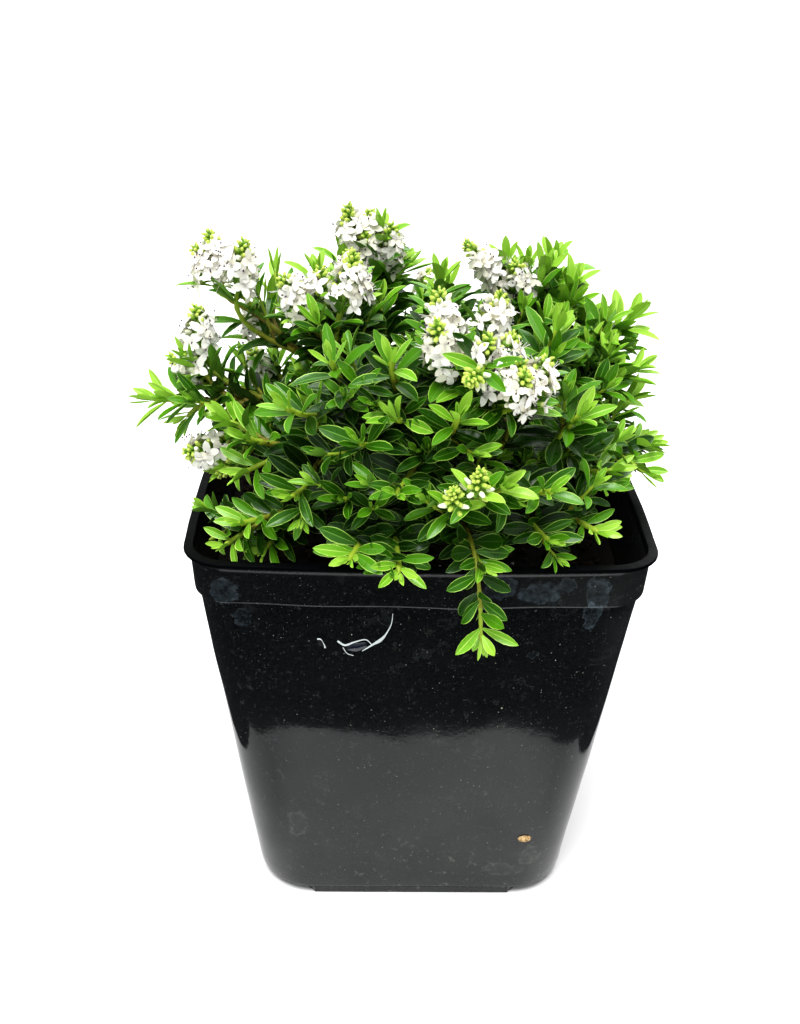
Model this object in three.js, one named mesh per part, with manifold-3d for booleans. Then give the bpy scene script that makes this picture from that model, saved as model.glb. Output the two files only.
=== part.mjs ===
// A hebe shrub in flower, in a square nursery pot.
// Millimetres, +Z up. The pot stands on z = 0 with its middle on the Z axis, and +Y is its back.
import * as THREE from "three";
import { mergeVertices } from "three/addons/utils/BufferGeometryUtils.js";
import Module from "manifold-3d";

const wasm = await Module();
wasm.setup();

// ---------------------------------------------------------------- driving dimensions

const GAP = 0.3; // between any two solids that meet

// The pot: each `half` is half its width at the ends of a side, where the side doesn't bow yet
const POT = {
  height: 158,
  footBaseHalf: 60,
  footHalf: 60.4,
  bodyLowHalf: 60.7,
  bodyTopHalf: 75.6,
  bandHalf: 78.1,
  bandTaper: 0.9,
  lipHalf: 80.1,
  wall: 1.4,
  cornerLow: 22,
  cornerTop: 13,
  bandCorner: 15,
  lipCorner: 16,
  sideBow: 2.2, // how far the soft sides bow out at the rim
  bandHeight: 14, // the upright band under the lip
  lipThick: 2.2,
  edge: 1.5, // the blunt edge round the bottom, outside
  innerEdge: 4, // and inside, where it holds the soil
  footHeight: 3, // the middle stands on a foot, and the corners stay up
  footCorner: 22, // what the foot leaves free at each corner
  drain: 11, // drainage slots, square across the raised corners
  drainWidth: 5.5,
};
const SIDE_STEPS = 4;
const CORNER_STEPS = 3;

// The soil is a little higher round the stem, and uneven
const SOIL = { level: 134, heap: 3, rings: 3, dimple: 1.6 };

const TRUNK = { height: 37, flare: 7.8, foot: 5.4, top: 3.8, flareHeight: 5, sides: 8, dome: 0.6 };
const TRUNK_RINGS = [0, 0.08, 0.24, 0.6, 0.93, 1]; // shares of its height

// Where limbs leave the trunk, by the height that they end at
const LOW_TIP = 150;
const HIGH_TIP = 225;
const ROOT_STEEP = [24, 62]; // degrees over level
const ROOT_UP = [4, 34]; // over the trunk's foot
const ROOT_LIFT = 1;
const ROOT_TURNS = [0, -12, 12, -24, 24, -36, 36, -48, 48]; // degrees that a root may be turned aside
const ROOT_TURN_COST = 0.2; // millimetres of height that a degree is worth
const ROOT_SPARE = 0.15; // what a limb's flat facets need over the gap

// A limb is one curve from the trunk to a shoot's tip: a bare bough, then the stem of its foliage
const BOUGH_SHARE = 0.32;
const BOUGH = { root: 1.3, tip: 0.95, sides: 4, steps: 4 };
const STEM = { root: 1.1, sideRoot: 1, tip: 0.75, sides: 3, steps: 4 };
const HANDLE = 0.36; // how far a limb's curve holds its direction at either end
const TRAIL_HANDLE = 0.28; // and further where its tip hangs down
const BRANCH_FIRST = 0.42; // share of the limb at which its first side shoot leaves
const BRANCH_STEP = 0.07;
const STEM_BARE = 0.05; // share of a limb without leaves after its bough
const SIDE_BARE = 0.18; // and of a side shoot

const LEAF = { length: 21, width: 9.6, keel: 0.7, sunk: 0.4, droop: 0.1, widest: 0.56 };
const LEAF_OPEN = 62; // degrees from the stem at a shoot's foot
const LEAF_CLOSE = 34; // and at its tip
const LEAF_SPREAD = { open: 16, roll: 0.4, size: 0.24 }; // how far leaves differ by chance
const TIP_LEAF = 0.82; // size of a shoot's last pair
const PAIR_SPACING = 9.2;
const PAIR_FIRST = 0.7; // the first pair stands this share of a space from the foot
const PAIR_END = { leaf: 0.99, bloom: 0.84, bud: 0.84 }; // a flowering shoot keeps its tip free
const SHORTER = [1, 0.8, 0.64]; // what a leaf is shrunk to before it is left out

// A spike of flowers or buds: whorls of open lobes, each a waist and a flare, under a bud tip
const RACEME = { length: 22, whorls: 3, flare: 9.5, waist: 4, crown: 3.6 };
const BUDS = { length: 13, whorls: 2, flare: 5, waist: 2.4, crown: 2 };
const SPIKE = {
  lobes: 3,
  notch: 0.62, // radius between two lobes, as a share of theirs
  sunk: 1.5, // the spike starts this far back in its stem
  whorlsEnd: 0.72, // shares of its length
  crownAt: 0.78,
  waistAt: 0.2, // shares of a whorl's height
  flareAt: 0.85,
  narrowing: 0.4, // how much smaller the whorls get
};
const NARROWER = [1, 0.8, 0.6, 0.4]; // what a spike is narrowed to where room is short

const ROOM = 0.45; // what a leaf keeps clear of other foliage, limbs, pot and soil
const WELD = 1e-4; // corners of one piece closer than this are the same corner
const JOIN_TOLERANCE = 0.01; // corners that a join leaves closer than this become one
const FINEST = 1e-3; // corners closer than this can't be told apart
const GROWTHS = 12; // how many seeds a mass may try
const GROWTH_SEED = 1000;
const BONE_STEP = 2; // between the points along a stem that tell whose space a place is
const WOOD_STEP = 1.5; // and along a bough
const CURVE_PARTS = 60;
const PROBE_SHARES = [0.2, 0.4, 0.6, 0.8]; // where the lines between a leaf's corners are tried
const SEED = 20;

// Every limb's shoots, the limb's own tip first: the tip's azimuth from +X in degrees, its reach
// from the pot's axis, its height over the pot's underside, the azimuth that it heads for, how
// steeply it rises in degrees, and what it ends in.
const LIMBS = {
  left_arm: [[191, 92, 192, 186, 4, "leaf"]],
  left_spike: [
    [184, 80, 206, 165, 62, "bloom"],
    [200, 74, 178, 205, -8, "bloom"],
  ],
  left_high: [
    [172, 68, 223, 160, 58, "bloom"],
    [180, 66, 223, 350, 72, "bloom"],
  ],
  left_back: [
    [150, 72, 182, 155, 40, "bloom"],
    [136, 88, 174, 136, 12, "leaf"],
  ],
  top_left: [
    [180, 42, 219, 170, 62, "bloom"],
    [169, 25, 221, 80, 72, "bloom"],
  ],
  top_back: [
    [119, 46, 227, 140, 70, "bloom"],
    [107, 45, 224, 75, 68, "bloom"],
  ],
  front_left_high: [
    [243, 67, 222, 238, 62, "leaf"],
    [236, 80, 208, 225, 40, "leaf"],
  ],
  front_high: [
    [260, 64, 223, 262, 62, "leaf"],
    [254, 80, 205, 250, 45, "leaf"],
  ],
  front_face: [
    [274, 79, 207, 272, 42, "leaf"],
    [264, 88, 190, 262, 16, "leaf"],
  ],
  flower_main: [
    [279, 50, 223, 180, 74, "bloom"],
    [287, 69, 217, 340, 56, "bloom"],
    [293, 79, 208, 340, 44, "bloom"],
  ],
  flower_back: [
    [41, 46, 217, 165, 45, "bloom"],
    [75, 35, 217, 80, 74, "leaf"],
  ],
  back_right: [
    [32, 65, 221, 35, 66, "leaf"],
    [60, 78, 204, 58, 45, "leaf"],
  ],
  right_top: [
    [14, 80, 209, 12, 36, "leaf"],
    [26, 88, 184, 22, 18, "leaf"],
  ],
  right_upper: [
    [356, 74, 198, 356, 34, "leaf"],
    [345, 50, 218, 350, 62, "leaf"],
  ],
  right_mid: [[353, 84, 173, 353, 0, "leaf"]],
  right_low: [
    [324, 82, 179, 326, 18, "leaf"],
    [309, 80, 205, 312, 48, "leaf"],
  ],
  right_corner: [
    [310, 92, 166, 312, -6, "leaf"],
    [297, 90, 168, 296, 0, "leaf"],
  ],
  front_right: [
    [296, 92, 187, 300, 26, "leaf"],
    [300, 70, 218, 305, 60, "leaf"],
  ],
  front_bright: [[286, 90, 190, 288, 34, "leaf"]],
  front_trail: [
    [281, 98, 139, 278, -80, "leaf"],
    [276, 88, 184, 280, 40, "bud"],
  ],
  front_low: [
    [255, 91, 164, 252, -4, "leaf"],
    [264, 93, 164, 268, -12, "leaf"],
    [251, 84, 186, 246, 22, "leaf"],
  ],
  left_corner: [
    [227, 90, 166, 224, 2, "leaf"],
    [220, 94, 157, 218, -10, "leaf"],
  ],
  left_front: [
    [214, 74, 187, 210, 26, "leaf"],
    [238, 86, 184, 232, 12, "leaf"],
  ],
  centre: [[285, 22, 219, 280, 76, "leaf"]],
  back_left: [
    [128, 66, 214, 128, 58, "leaf"],
    [114, 82, 194, 114, 35, "bloom"],
  ],
  back_low: [
    [104, 91, 168, 104, 0, "leaf"],
    [122, 90, 172, 122, 8, "leaf"],
  ],
  back_mid: [
    [86, 78, 202, 86, 45, "bloom"],
    [80, 92, 175, 80, 10, "leaf"],
  ],
  back_low_right: [
    [52, 91, 176, 52, 10, "leaf"],
    [38, 90, 190, 38, 26, "leaf"],
  ],
};

const COLOUR = {
  pot: 0x15181b,
  soil: 0x2e2721,
  trunk: 0x6d5a3c,
  bough: 0x7d7a3e,
  foliage: 0x4f8a2d,
};

// ---------------------------------------------------------------- tools

const UP = new THREE.Vector3(0, 0, 1);
const radians = THREE.MathUtils.degToRad;
const lerp = THREE.MathUtils.lerp;

// A repeatable stream of numbers from 0 to 1
function seeded(seed) {
  let state = seed;
  return () => {
    state = (state + 0x6d2b79f5) | 0;
    let t = Math.imul(state ^ (state >>> 15), 1 | state);
    t = (t + Math.imul(t ^ (t >>> 7), 61 | t)) ^ t;
    return ((t ^ (t >>> 14)) >>> 0) / 4294967296;
  };
}

function polar(azimuth, reach, z) {
  const a = radians(azimuth);
  return new THREE.Vector3(reach * Math.cos(a), reach * Math.sin(a), z);
}

function heading(azimuth, rise) {
  return polar(azimuth, Math.cos(radians(rise)), Math.sin(radians(rise)));
}

function solidOf(geometry) {
  geometry.deleteAttribute("normal");
  geometry.deleteAttribute("uv");
  const merged = mergeVertices(geometry, WELD);
  return new wasm.Manifold(
    new wasm.Mesh({
      numProp: 3,
      vertProperties: new Float32Array(merged.attributes.position.array),
      triVerts: new Uint32Array(merged.index.array),
    }),
  );
}

function geometryOf(solid) {
  const mesh = solid.getMesh();
  const geometry = new THREE.BufferGeometry();
  geometry.setAttribute("position", new THREE.BufferAttribute(mesh.vertProperties, 3));
  geometry.setIndex(new THREE.BufferAttribute(mesh.triVerts, 1));
  return geometry;
}

// One closed solid through rings of equal length, closed by a flat face at each end
function loft(rings) {
  const count = rings[0].length;
  const places = rings.flat().flatMap((p) => [p.x, p.y, p.z]);
  const faces = [];
  for (let k = 0; k + 1 < rings.length; k++) {
    for (let i = 0; i < count; i++) {
      const a = k * count + i;
      const b = k * count + ((i + 1) % count);
      faces.push(a, b, b + count, a, b + count, a + count);
    }
  }
  const last = (rings.length - 1) * count;
  for (let i = 1; i + 1 < count; i++) {
    faces.push(0, i + 1, i, last, last + i, last + i + 1);
  }
  const geometry = new THREE.BufferGeometry();
  geometry.setAttribute("position", new THREE.Float32BufferAttribute(places, 3));
  geometry.setIndex(faces);
  return geometry;
}

// ---------------------------------------------------------------- the pot and its soil

// A square with round corners whose sides bow out by `bow` at their middles
function squareRing(half, corner, bow, z) {
  const points = [];
  const straight = half - corner;
  const place = (x, y, turn) => points.push(new THREE.Vector3(x, y, z).applyAxisAngle(UP, turn));
  for (let side = 0; side < 4; side++) {
    const turn = (side * Math.PI) / 2;
    for (let i = 0; i < SIDE_STEPS; i++) {
      const along = (2 * i) / SIDE_STEPS - 1;
      place(half + bow * (1 - along * along), straight * along, turn);
    }
    for (let i = 0; i < CORNER_STEPS; i++) {
      const a = ((i / CORNER_STEPS) * Math.PI) / 2;
      place(straight + corner * Math.cos(a), straight + corner * Math.sin(a), turn);
    }
  }
  return points;
}

// The outer wall's half width, corner and bow at height z, up to the band
function wallAt(z) {
  const tall = bandFoot() - POT.footHeight;
  const share = THREE.MathUtils.clamp((z - POT.footHeight) / tall, 0, 1);
  return {
    half: lerp(POT.bodyLowHalf, POT.bodyTopHalf, share),
    corner: lerp(POT.cornerLow, POT.cornerTop, share),
    bow: POT.sideBow * share,
  };
}

function bandFoot() {
  return POT.height - POT.lipThick - POT.bandHeight;
}

function wallRing(z, inset) {
  const wall = wallAt(z);
  return squareRing(wall.half - inset, wall.corner - inset, wall.bow, z);
}

// The hollow's half width at height z, less `inset`
function hollowRing(z, inset) {
  if (z < bandFoot()) return wallRing(z, POT.wall + inset);
  const wall = wallAt(z);
  const share = (z - bandFoot()) / (POT.height - bandFoot());
  const half = lerp(wall.half, POT.bandHalf, share) - POT.wall - inset;
  const corner = lerp(wall.corner, POT.bandCorner, share) - POT.wall - inset;
  return squareRing(half, corner, wall.bow, z);
}

// The inside of the floor's blunt edge, and the wall's foot above it
function hollowFoot(inset) {
  const low = POT.footHeight + POT.wall + inset;
  return [wallRing(low, POT.wall + POT.innerEdge + inset), hollowRing(low + POT.innerEdge, inset)];
}

function potSolid() {
  const bandTop = POT.height - POT.lipThick;
  const { bodyLowHalf, cornerLow, bandHalf, bandCorner, lipHalf, lipCorner, sideBow, edge } = POT;
  const outer = loft([
    squareRing(bodyLowHalf - edge, cornerLow - edge, 0, POT.footHeight),
    squareRing(bodyLowHalf, cornerLow, 0, POT.footHeight + edge),
    wallRing(bandFoot(), 0),
    squareRing(bandHalf - POT.bandTaper, bandCorner, sideBow, bandFoot()),
    squareRing(bandHalf, bandCorner, sideBow, bandTop),
    squareRing(lipHalf, lipCorner, sideBow, bandTop),
    squareRing(lipHalf, lipCorner, sideBow, POT.height),
  ]);
  const overTop = POT.height + POT.wall; // the cut runs on past the rim
  const hollow = loft([...hollowFoot(0), hollowRing(bandFoot(), 0), hollowRing(overTop, 0)]);
  return solidOf(outer).subtract(solidOf(hollow)).add(footSolid()).subtract(drainHoles());
}

// The foot: a square whose corners are cut away, widening a little upwards into the floor
function footSolid() {
  const ring = (half, z) => {
    const cut = half - POT.footCorner;
    const corners = [[half, -cut], [half, cut], [cut, half], [-cut, half]];
    const others = corners.map(([x, y]) => [-x, -y]);
    return [...corners, ...others].map(([x, y]) => new THREE.Vector3(x, y, z));
  };
  const inFloor = POT.footHeight + POT.wall / 2;
  return solidOf(loft([ring(POT.footBaseHalf, 0), ring(POT.footHalf, inFloor)]));
}

function drainHoles() {
  const hole = new THREE.BoxGeometry(POT.drain, POT.drainWidth, 4 * POT.footHeight);
  const reach = Math.SQRT2 * (POT.footHalf - POT.drain);
  return [45, 135, 225, 315]
    .map((azimuth) => {
      const placed = hole.clone().rotateZ(radians(azimuth + 90));
      const at = polar(azimuth, reach, POT.footHeight);
      return solidOf(placed.translate(at.x, at.y, at.z));
    })
    .reduce((all, one) => all.add(one));
}

// Height of the soil's top at `share` of the way from the middle to the wall
function soilTop(share) {
  return SOIL.level + SOIL.heap * Math.cos((share * Math.PI) / 2);
}

// The top is rings round the stem, dimpled by a seeded rule and flat where the trunk stands
function soilSolid() {
  const chance = seeded(SEED);
  const rim = wallRing(SOIL.level, POT.wall + GAP);
  const rings = [...hollowFoot(GAP), rim];
  for (let k = 1; k <= SOIL.rings; k++) {
    const share = 1 - k / (SOIL.rings + 0.5);
    const last = k === SOIL.rings;
    rings.push(
      rim.map((p) => {
        const z = last ? soilTop(0) : soilTop(share) + SOIL.dimple * (chance() - 0.5);
        return new THREE.Vector3(p.x * share, p.y * share, z);
      }),
    );
  }
  return solidOf(loft(rings));
}

// ---------------------------------------------------------------- trunk and limbs

const TRUNK_FOOT = soilTop(0) + GAP;

function trunkRadius(z) {
  const over = z - TRUNK_FOOT;
  const flare = Math.max(0, 1 - over / TRUNK.flareHeight);
  const shaft = lerp(TRUNK.foot, TRUNK.top, over / TRUNK.height);
  return shaft + (TRUNK.flare - TRUNK.foot) * flare * flare;
}

function trunkSolid() {
  const rings = TRUNK_RINGS.map((share) => {
    const over = share * TRUNK.height;
    const domed = share === 1 ? TRUNK.dome : 1;
    const radius = trunkRadius(TRUNK_FOOT + over) * domed;
    const ring = [];
    for (let i = 0; i < TRUNK.sides; i++) {
      ring.push(polar((i * 360) / TRUNK.sides, radius, TRUNK_FOOT + over));
    }
    return ring;
  });
  return solidOf(loft(rings));
}

// A shoot is a curve with a side direction that stays square to it
class Shoot {
  constructor(root, start, [azimuth, reach, z, towards, rise, end]) {
    this.tip = polar(azimuth, reach, z);
    this.end = end;
    const span = this.tip.distanceTo(root);
    const trail = HANDLE + TRAIL_HANDLE * Math.max(0, -Math.sin(radians(rise)));
    this.curve = new THREE.CubicBezierCurve3(
      root,
      root.clone().addScaledVector(start, HANDLE * span),
      this.tip.clone().addScaledVector(heading(towards, rise), -trail * span),
      this.tip,
    );
    this.curve.arcLengthDivisions = CURVE_PARTS;
    this.level = polar(azimuth + 90, 1, 0);
    this.length = this.curve.getLength();
  }

  frame(share) {
    const point = this.curve.getPointAt(share);
    const along = this.curve.getTangentAt(share);
    const side = this.level.clone().addScaledVector(along, -this.level.dot(along)).normalize();
    const over = new THREE.Vector3().crossVectors(side, along);
    return { point, along, side, over };
  }

  // The straight stretch of this length that runs on from the tip
  ahead(length) {
    const along = this.curve.getTangentAt(1);
    const line = Object.create(this);
    line.curve = new THREE.LineCurve3(
      this.tip.clone().addScaledVector(along, -SPIKE.sunk),
      this.tip.clone().addScaledVector(along, length),
    );
    return line;
  }

  samples(from, step) {
    const count = Math.ceil(((1 - from) * this.length) / step);
    return Array.from({ length: count + 1 }, (_, i) =>
      this.curve.getPointAt(lerp(from, 1, i / count)),
    );
  }
}

// A cylinder bent along a shoot from share `from` to share `to`, tapering from r0 to r1
function tube(shoot, from, to, r0, r1, sides, steps) {
  const geometry = new THREE.CylinderGeometry(1, 1, 1, sides, steps);
  const place = geometry.attributes.position;
  for (let i = 0; i < place.count; i++) {
    const share = 0.5 + place.getY(i);
    const { point, side, over } = shoot.frame(lerp(from, to, share));
    const radius = lerp(r0, r1, share);
    point.addScaledVector(side, radius * place.getX(i));
    point.addScaledVector(over, radius * place.getZ(i));
    place.setXYZ(i, point.x, point.y, point.z);
  }
  return solidOf(geometry);
}

// Where a limb leaves the trunk: those that end high do so high and steeply
function rootOf(azimuth, tipHeight, up, turned) {
  const share = THREE.MathUtils.clamp((tipHeight - LOW_TIP) / (HIGH_TIP - LOW_TIP), 0, 1);
  const steep = lerp(ROOT_STEEP[0], ROOT_STEEP[1], share);
  const clear = GAP + ROOT_SPARE + BOUGH.root * Math.sin(radians(steep));
  const at = TRUNK_FOOT + up;
  const wished = lerp(...ROOT_UP, share);
  return {
    root: polar(azimuth + turned, trunkRadius(at) + clear, at),
    start: heading(azimuth + turned, steep),
    cost: Math.abs(up - wished) + ROOT_TURN_COST * Math.abs(turned),
  };
}

function woodOf(main) {
  return main.samples(0, WOOD_STEP).slice(0, Math.ceil((BOUGH_SHARE * main.length) / WOOD_STEP));
}

// The main shoot of a limb, from the free place on the trunk that suits it best
function rooted(end, others) {
  const places = [];
  for (let up = ROOT_UP[0]; up <= ROOT_UP[1]; up += ROOT_LIFT) {
    for (const turned of ROOT_TURNS) places.push(rootOf(end[0], end[2], up, turned));
  }
  places.sort((a, b) => a.cost - b.cost);
  const isFree = ({ root, start }) => {
    const shoot = new Shoot(root, start, end);
    const whole = shoot.samples(0, WOOD_STEP);
    return others.every((o) => areApart(whole, o.wood) && areApart(woodOf(shoot), o.bones));
  };
  const place = places.find(isFree);
  if (!place) throw new Error("no room on the trunk for a limb");
  return new Shoot(place.root, place.start, end);
}

function areApart(points, others) {
  const apart = 2 * BOUGH.root + GAP + ROOT_SPARE;
  return points.every((point) => nearest(point, others) > apart);
}

function nearest(point, others) {
  let least = Infinity;
  for (const other of others) least = Math.min(least, point.distanceToSquared(other));
  return Math.sqrt(least);
}

// Every limb, with points along its bough and its stems that keep things apart
const limbs = [];
for (const [name, ends] of Object.entries(LIMBS)) {
  const main = rooted(ends[0], limbs);
  const stemFrom = BOUGH_SHARE + (2 * GAP) / main.length;
  const sides = ends.slice(1).map((end, i) => {
    const leaves = main.frame(BRANCH_FIRST + i * BRANCH_STEP);
    return new Shoot(leaves.point, leaves.along, end);
  });
  const sideBones = sides.flatMap((side) => side.samples(0, BONE_STEP));
  const bones = [...main.samples(stemFrom, BONE_STEP), ...sideBones];
  limbs.push({ name, main, sides, stemFrom, bones, wood: woodOf(main) });
}

// ---------------------------------------------------------------- leaves, flowers, foliage

// A lozenge with a drooping tip and a keel below: base, tip, right edge, left edge, keel
const LEAF_FACES = [0, 2, 3, 3, 2, 1, 0, 3, 4, 3, 1, 4, 1, 2, 4, 2, 0, 4];

function leafGeometry({ point, along, side, over }, roll, open, scale) {
  const length = LEAF.length * scale;
  const half = (LEAF.width * scale) / 2;
  const out = side.clone().multiplyScalar(Math.cos(roll)).addScaledVector(over, Math.sin(roll));
  const run = along.clone().multiplyScalar(Math.cos(open)).addScaledVector(out, Math.sin(open));
  const face = along.clone().multiplyScalar(Math.sin(open)).addScaledVector(out, -Math.cos(open));
  const broad = new THREE.Vector3().crossVectors(run, face);
  const corners = [
    [-LEAF.sunk, 0, 0],
    [length, 0, -LEAF.droop * length],
    [length * LEAF.widest, half, 0],
    [length * LEAF.widest, -half, 0],
    [length * LEAF.widest, 0, -LEAF.keel],
  ].map(([ahead, aside, lift]) =>
    point
      .clone()
      .addScaledVector(run, ahead)
      .addScaledVector(broad, aside)
      .addScaledVector(face, lift),
  );
  const geometry = new THREE.BufferGeometry().setFromPoints(corners);
  geometry.setIndex(LEAF_FACES);
  return geometry;
}

// A turned profile of waists and flares, its outline notched into lobes, on a straight line
function spikeGeometry(line, kind, scale) {
  const profile = [new THREE.Vector2(0, 0)];
  const step = SPIKE.whorlsEnd / kind.whorls;
  for (let k = 0; k < kind.whorls; k++) {
    const size = scale * (1 - (SPIKE.narrowing * k) / kind.whorls);
    profile.push(new THREE.Vector2(kind.waist * size, (k + SPIKE.waistAt) * step));
    profile.push(new THREE.Vector2(kind.flare * size, (k + SPIKE.flareAt) * step));
  }
  profile.push(new THREE.Vector2(kind.crown * scale, SPIKE.crownAt), new THREE.Vector2(0, 1));
  const geometry = new THREE.LatheGeometry(profile, 2 * SPIKE.lobes);
  const place = geometry.attributes.position;
  const thick = (scale * (kind.waist + kind.crown)) / 2; // only what is wider has lobes
  for (let i = 0; i < place.count; i++) {
    const [x, share, z] = [place.getX(i), place.getY(i), place.getZ(i)];
    const lobe = Math.round((Math.atan2(z, x) / Math.PI) * SPIKE.lobes);
    const notch = Math.hypot(x, z) > thick && lobe % 2 ? SPIKE.notch : 1;
    const { point, side, over } = line.frame(share);
    point.addScaledVector(side, notch * x);
    point.addScaledVector(over, notch * z);
    place.setXYZ(i, point.x, point.y, point.z);
  }
  return geometry;
}

// The corners of a small solid and points on the lines between them
function probes(geometry) {
  const place = geometry.attributes.position;
  const corners = Array.from({ length: place.count }, (_, i) =>
    new THREE.Vector3().fromBufferAttribute(place, i),
  );
  const between = corners.flatMap((a, i) =>
    corners.slice(i + 1).flatMap((b) => PROBE_SHARES.map((share) => a.clone().lerp(b, share))),
  );
  return [...corners, ...between];
}

// How far a point lies outside a round-cornered square, and below zero inside it
function outsideSquare(point, half, corner) {
  const x = Math.abs(point.x) - (half - corner);
  const y = Math.abs(point.y) - (half - corner);
  return Math.hypot(Math.max(x, 0), Math.max(y, 0)) + Math.min(Math.max(x, y), 0) - corner;
}

function clearOfPot(point) {
  if (point.z > POT.height + ROOM) return true;
  const outside = outsideSquare(point, POT.lipHalf + POT.sideBow, POT.lipCorner) > ROOM;
  const wall = wallAt(point.z);
  const hollow = outsideSquare(point, wall.half - POT.wall, wall.corner - POT.wall) < -ROOM;
  return outside || (hollow && point.z > SOIL.level + SOIL.heap + SOIL.dimple / 2);
}

// True where a piece keeps to its own limb's space, clear of every bough, the trunk and the pot
function keepsToItsSpace(geometry, limb) {
  const trunkTop = TRUNK_FOOT + TRUNK.height;
  return probes(geometry).every((p) => {
    const own = nearest(p, limb.bones);
    const wooded = limbs.every((o) => nearest(p, o.wood) > BOUGH.root + ROOM);
    const apart = limbs.every((o) => o === limb || nearest(p, o.bones) > own + 2 * ROOM);
    const offTrunk = p.z > trunkTop + ROOM || Math.hypot(p.x, p.y) > TRUNK.flare + ROOM;
    return wooded && apart && offTrunk && clearOfPot(p);
  });
}

function addLeaves(limb, shoot, from, chance, pieces) {
  const stretch = (1 - from) * shoot.length;
  const pairs = Math.max(2, Math.round(stretch / PAIR_SPACING));
  const spread = (least, range) => least + range * (chance() - 0.5);
  for (let k = 0; k < pairs; k++) {
    const share = (k + PAIR_FIRST) / (pairs - 1 + PAIR_FIRST);
    const frame = shoot.frame(lerp(from, PAIR_END[shoot.end], share));
    const roll = Math.PI / 4 + (k % 2 ? Math.PI / 2 : 0);
    for (const turned of [roll, roll + Math.PI]) {
      const rolled = spread(turned, LEAF_SPREAD.roll);
      const open = radians(spread(lerp(LEAF_OPEN, LEAF_CLOSE, share), LEAF_SPREAD.open));
      const size = spread(k === pairs - 1 ? TIP_LEAF : 1, LEAF_SPREAD.size);
      const fits = SHORTER.map((shorter) => leafGeometry(frame, rolled, open, size * shorter));
      const leaf = fits.find((g) => keepsToItsSpace(g, limb));
      if (leaf) pieces.push(solidOf(leaf));
    }
  }
}

function addSpike(limb, shoot, kind, pieces) {
  const line = shoot.ahead(kind.length);
  const fits = NARROWER.map((scale) => spikeGeometry(line, kind, scale));
  const spike = fits.find((g) => keepsToItsSpace(g, limb)) ?? fits.at(-1);
  pieces.push(solidOf(spike));
}

// True where every edge still has its two faces once corners closer than FINEST are one
function isClean(solid) {
  const corner = mergeVertices(geometryOf(solid), FINEST).index.array;
  const uses = new Map();
  for (let i = 0; i < corner.length; i += 3) {
    const face = [corner[i], corner[i + 1], corner[i + 2]];
    if (new Set(face).size < 3) continue;
    for (let k = 0; k < 3; k++) {
      const edge = [face[k], face[(k + 1) % 3]].sort((a, b) => a - b).join();
      uses.set(edge, (uses.get(edge) ?? 0) + 1);
    }
  }
  return [...uses.values()].every((count) => count === 2);
}

// A limb's foliage, grown again from another seed where two leaves graze in a sliver
function foliageSolid(limb, index) {
  for (let turn = 0; turn < GROWTHS; turn++) {
    const solid = grow(limb, seeded(SEED + index + turn * GROWTH_SEED));
    if (isClean(solid)) return solid;
  }
  throw new Error("no clean foliage for " + limb.name);
}

function grow(limb, chance) {
    const pieces = [tube(limb.main, limb.stemFrom, 1, STEM.root, STEM.tip, STEM.sides, STEM.steps)];
  for (const side of limb.sides) {
    pieces.push(tube(side, 0, 1, STEM.sideRoot, STEM.tip, STEM.sides, STEM.steps));
  }
  for (const shoot of [limb.main, ...limb.sides]) {
    const from = shoot === limb.main ? limb.stemFrom + STEM_BARE : SIDE_BARE;
    addLeaves(limb, shoot, from, chance, pieces);
    if (shoot.end === "bloom") addSpike(limb, shoot, RACEME, pieces);
    if (shoot.end === "bud") addSpike(limb, shoot, BUDS, pieces);
  }
  const joined = pieces.reduce((all, one) => all.add(one)).simplify(JOIN_TOLERANCE);
  const bodies = joined.decompose().sort((a, b) => b.volume() - a.volume());
  return bodies[0];
}

// ---------------------------------------------------------------- the scene graph

const shrub = new THREE.Group();

function addPart(name, solid, colour, roughness) {
  const material = new THREE.MeshStandardMaterial({ color: colour, roughness, metalness: 0 });
  const mesh = new THREE.Mesh(geometryOf(solid), material);
  mesh.name = name;
  shrub.add(mesh);
}

addPart("pot", potSolid(), COLOUR.pot, 0.35);
addPart("soil", soilSolid(), COLOUR.soil, 0.95);
addPart("trunk", trunkSolid(), COLOUR.trunk, 0.85);
limbs.forEach((limb, index) => {
  const bough = tube(limb.main, 0, BOUGH_SHARE, BOUGH.root, BOUGH.tip, BOUGH.sides, BOUGH.steps);
  addPart("bough_" + limb.name, bough, COLOUR.bough, 0.8);
  addPart("foliage_" + limb.name, foliageSolid(limb, index), COLOUR.foliage, 0.5);
});

export default shrub;
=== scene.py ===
"""A hebe shrub in flower, in its square black nursery pot: the looks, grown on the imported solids."""

import math
import random

import bpy
import numpy as np
from mathutils import Matrix, Vector, noise


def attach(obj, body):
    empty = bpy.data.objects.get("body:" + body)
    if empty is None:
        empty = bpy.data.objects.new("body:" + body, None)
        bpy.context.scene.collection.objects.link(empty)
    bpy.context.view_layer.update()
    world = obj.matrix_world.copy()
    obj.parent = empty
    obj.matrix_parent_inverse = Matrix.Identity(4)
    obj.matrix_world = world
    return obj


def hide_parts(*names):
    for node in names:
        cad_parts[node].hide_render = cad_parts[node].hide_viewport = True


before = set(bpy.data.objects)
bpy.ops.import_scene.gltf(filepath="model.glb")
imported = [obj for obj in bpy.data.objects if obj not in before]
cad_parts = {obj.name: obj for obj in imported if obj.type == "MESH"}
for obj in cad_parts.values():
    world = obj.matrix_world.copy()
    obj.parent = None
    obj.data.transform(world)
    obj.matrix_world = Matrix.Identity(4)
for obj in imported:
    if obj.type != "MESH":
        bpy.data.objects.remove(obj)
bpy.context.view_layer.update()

MM = 0.001
SEED = 20

# ------------------------------------------------------------------ the pot, in millimetres

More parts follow.
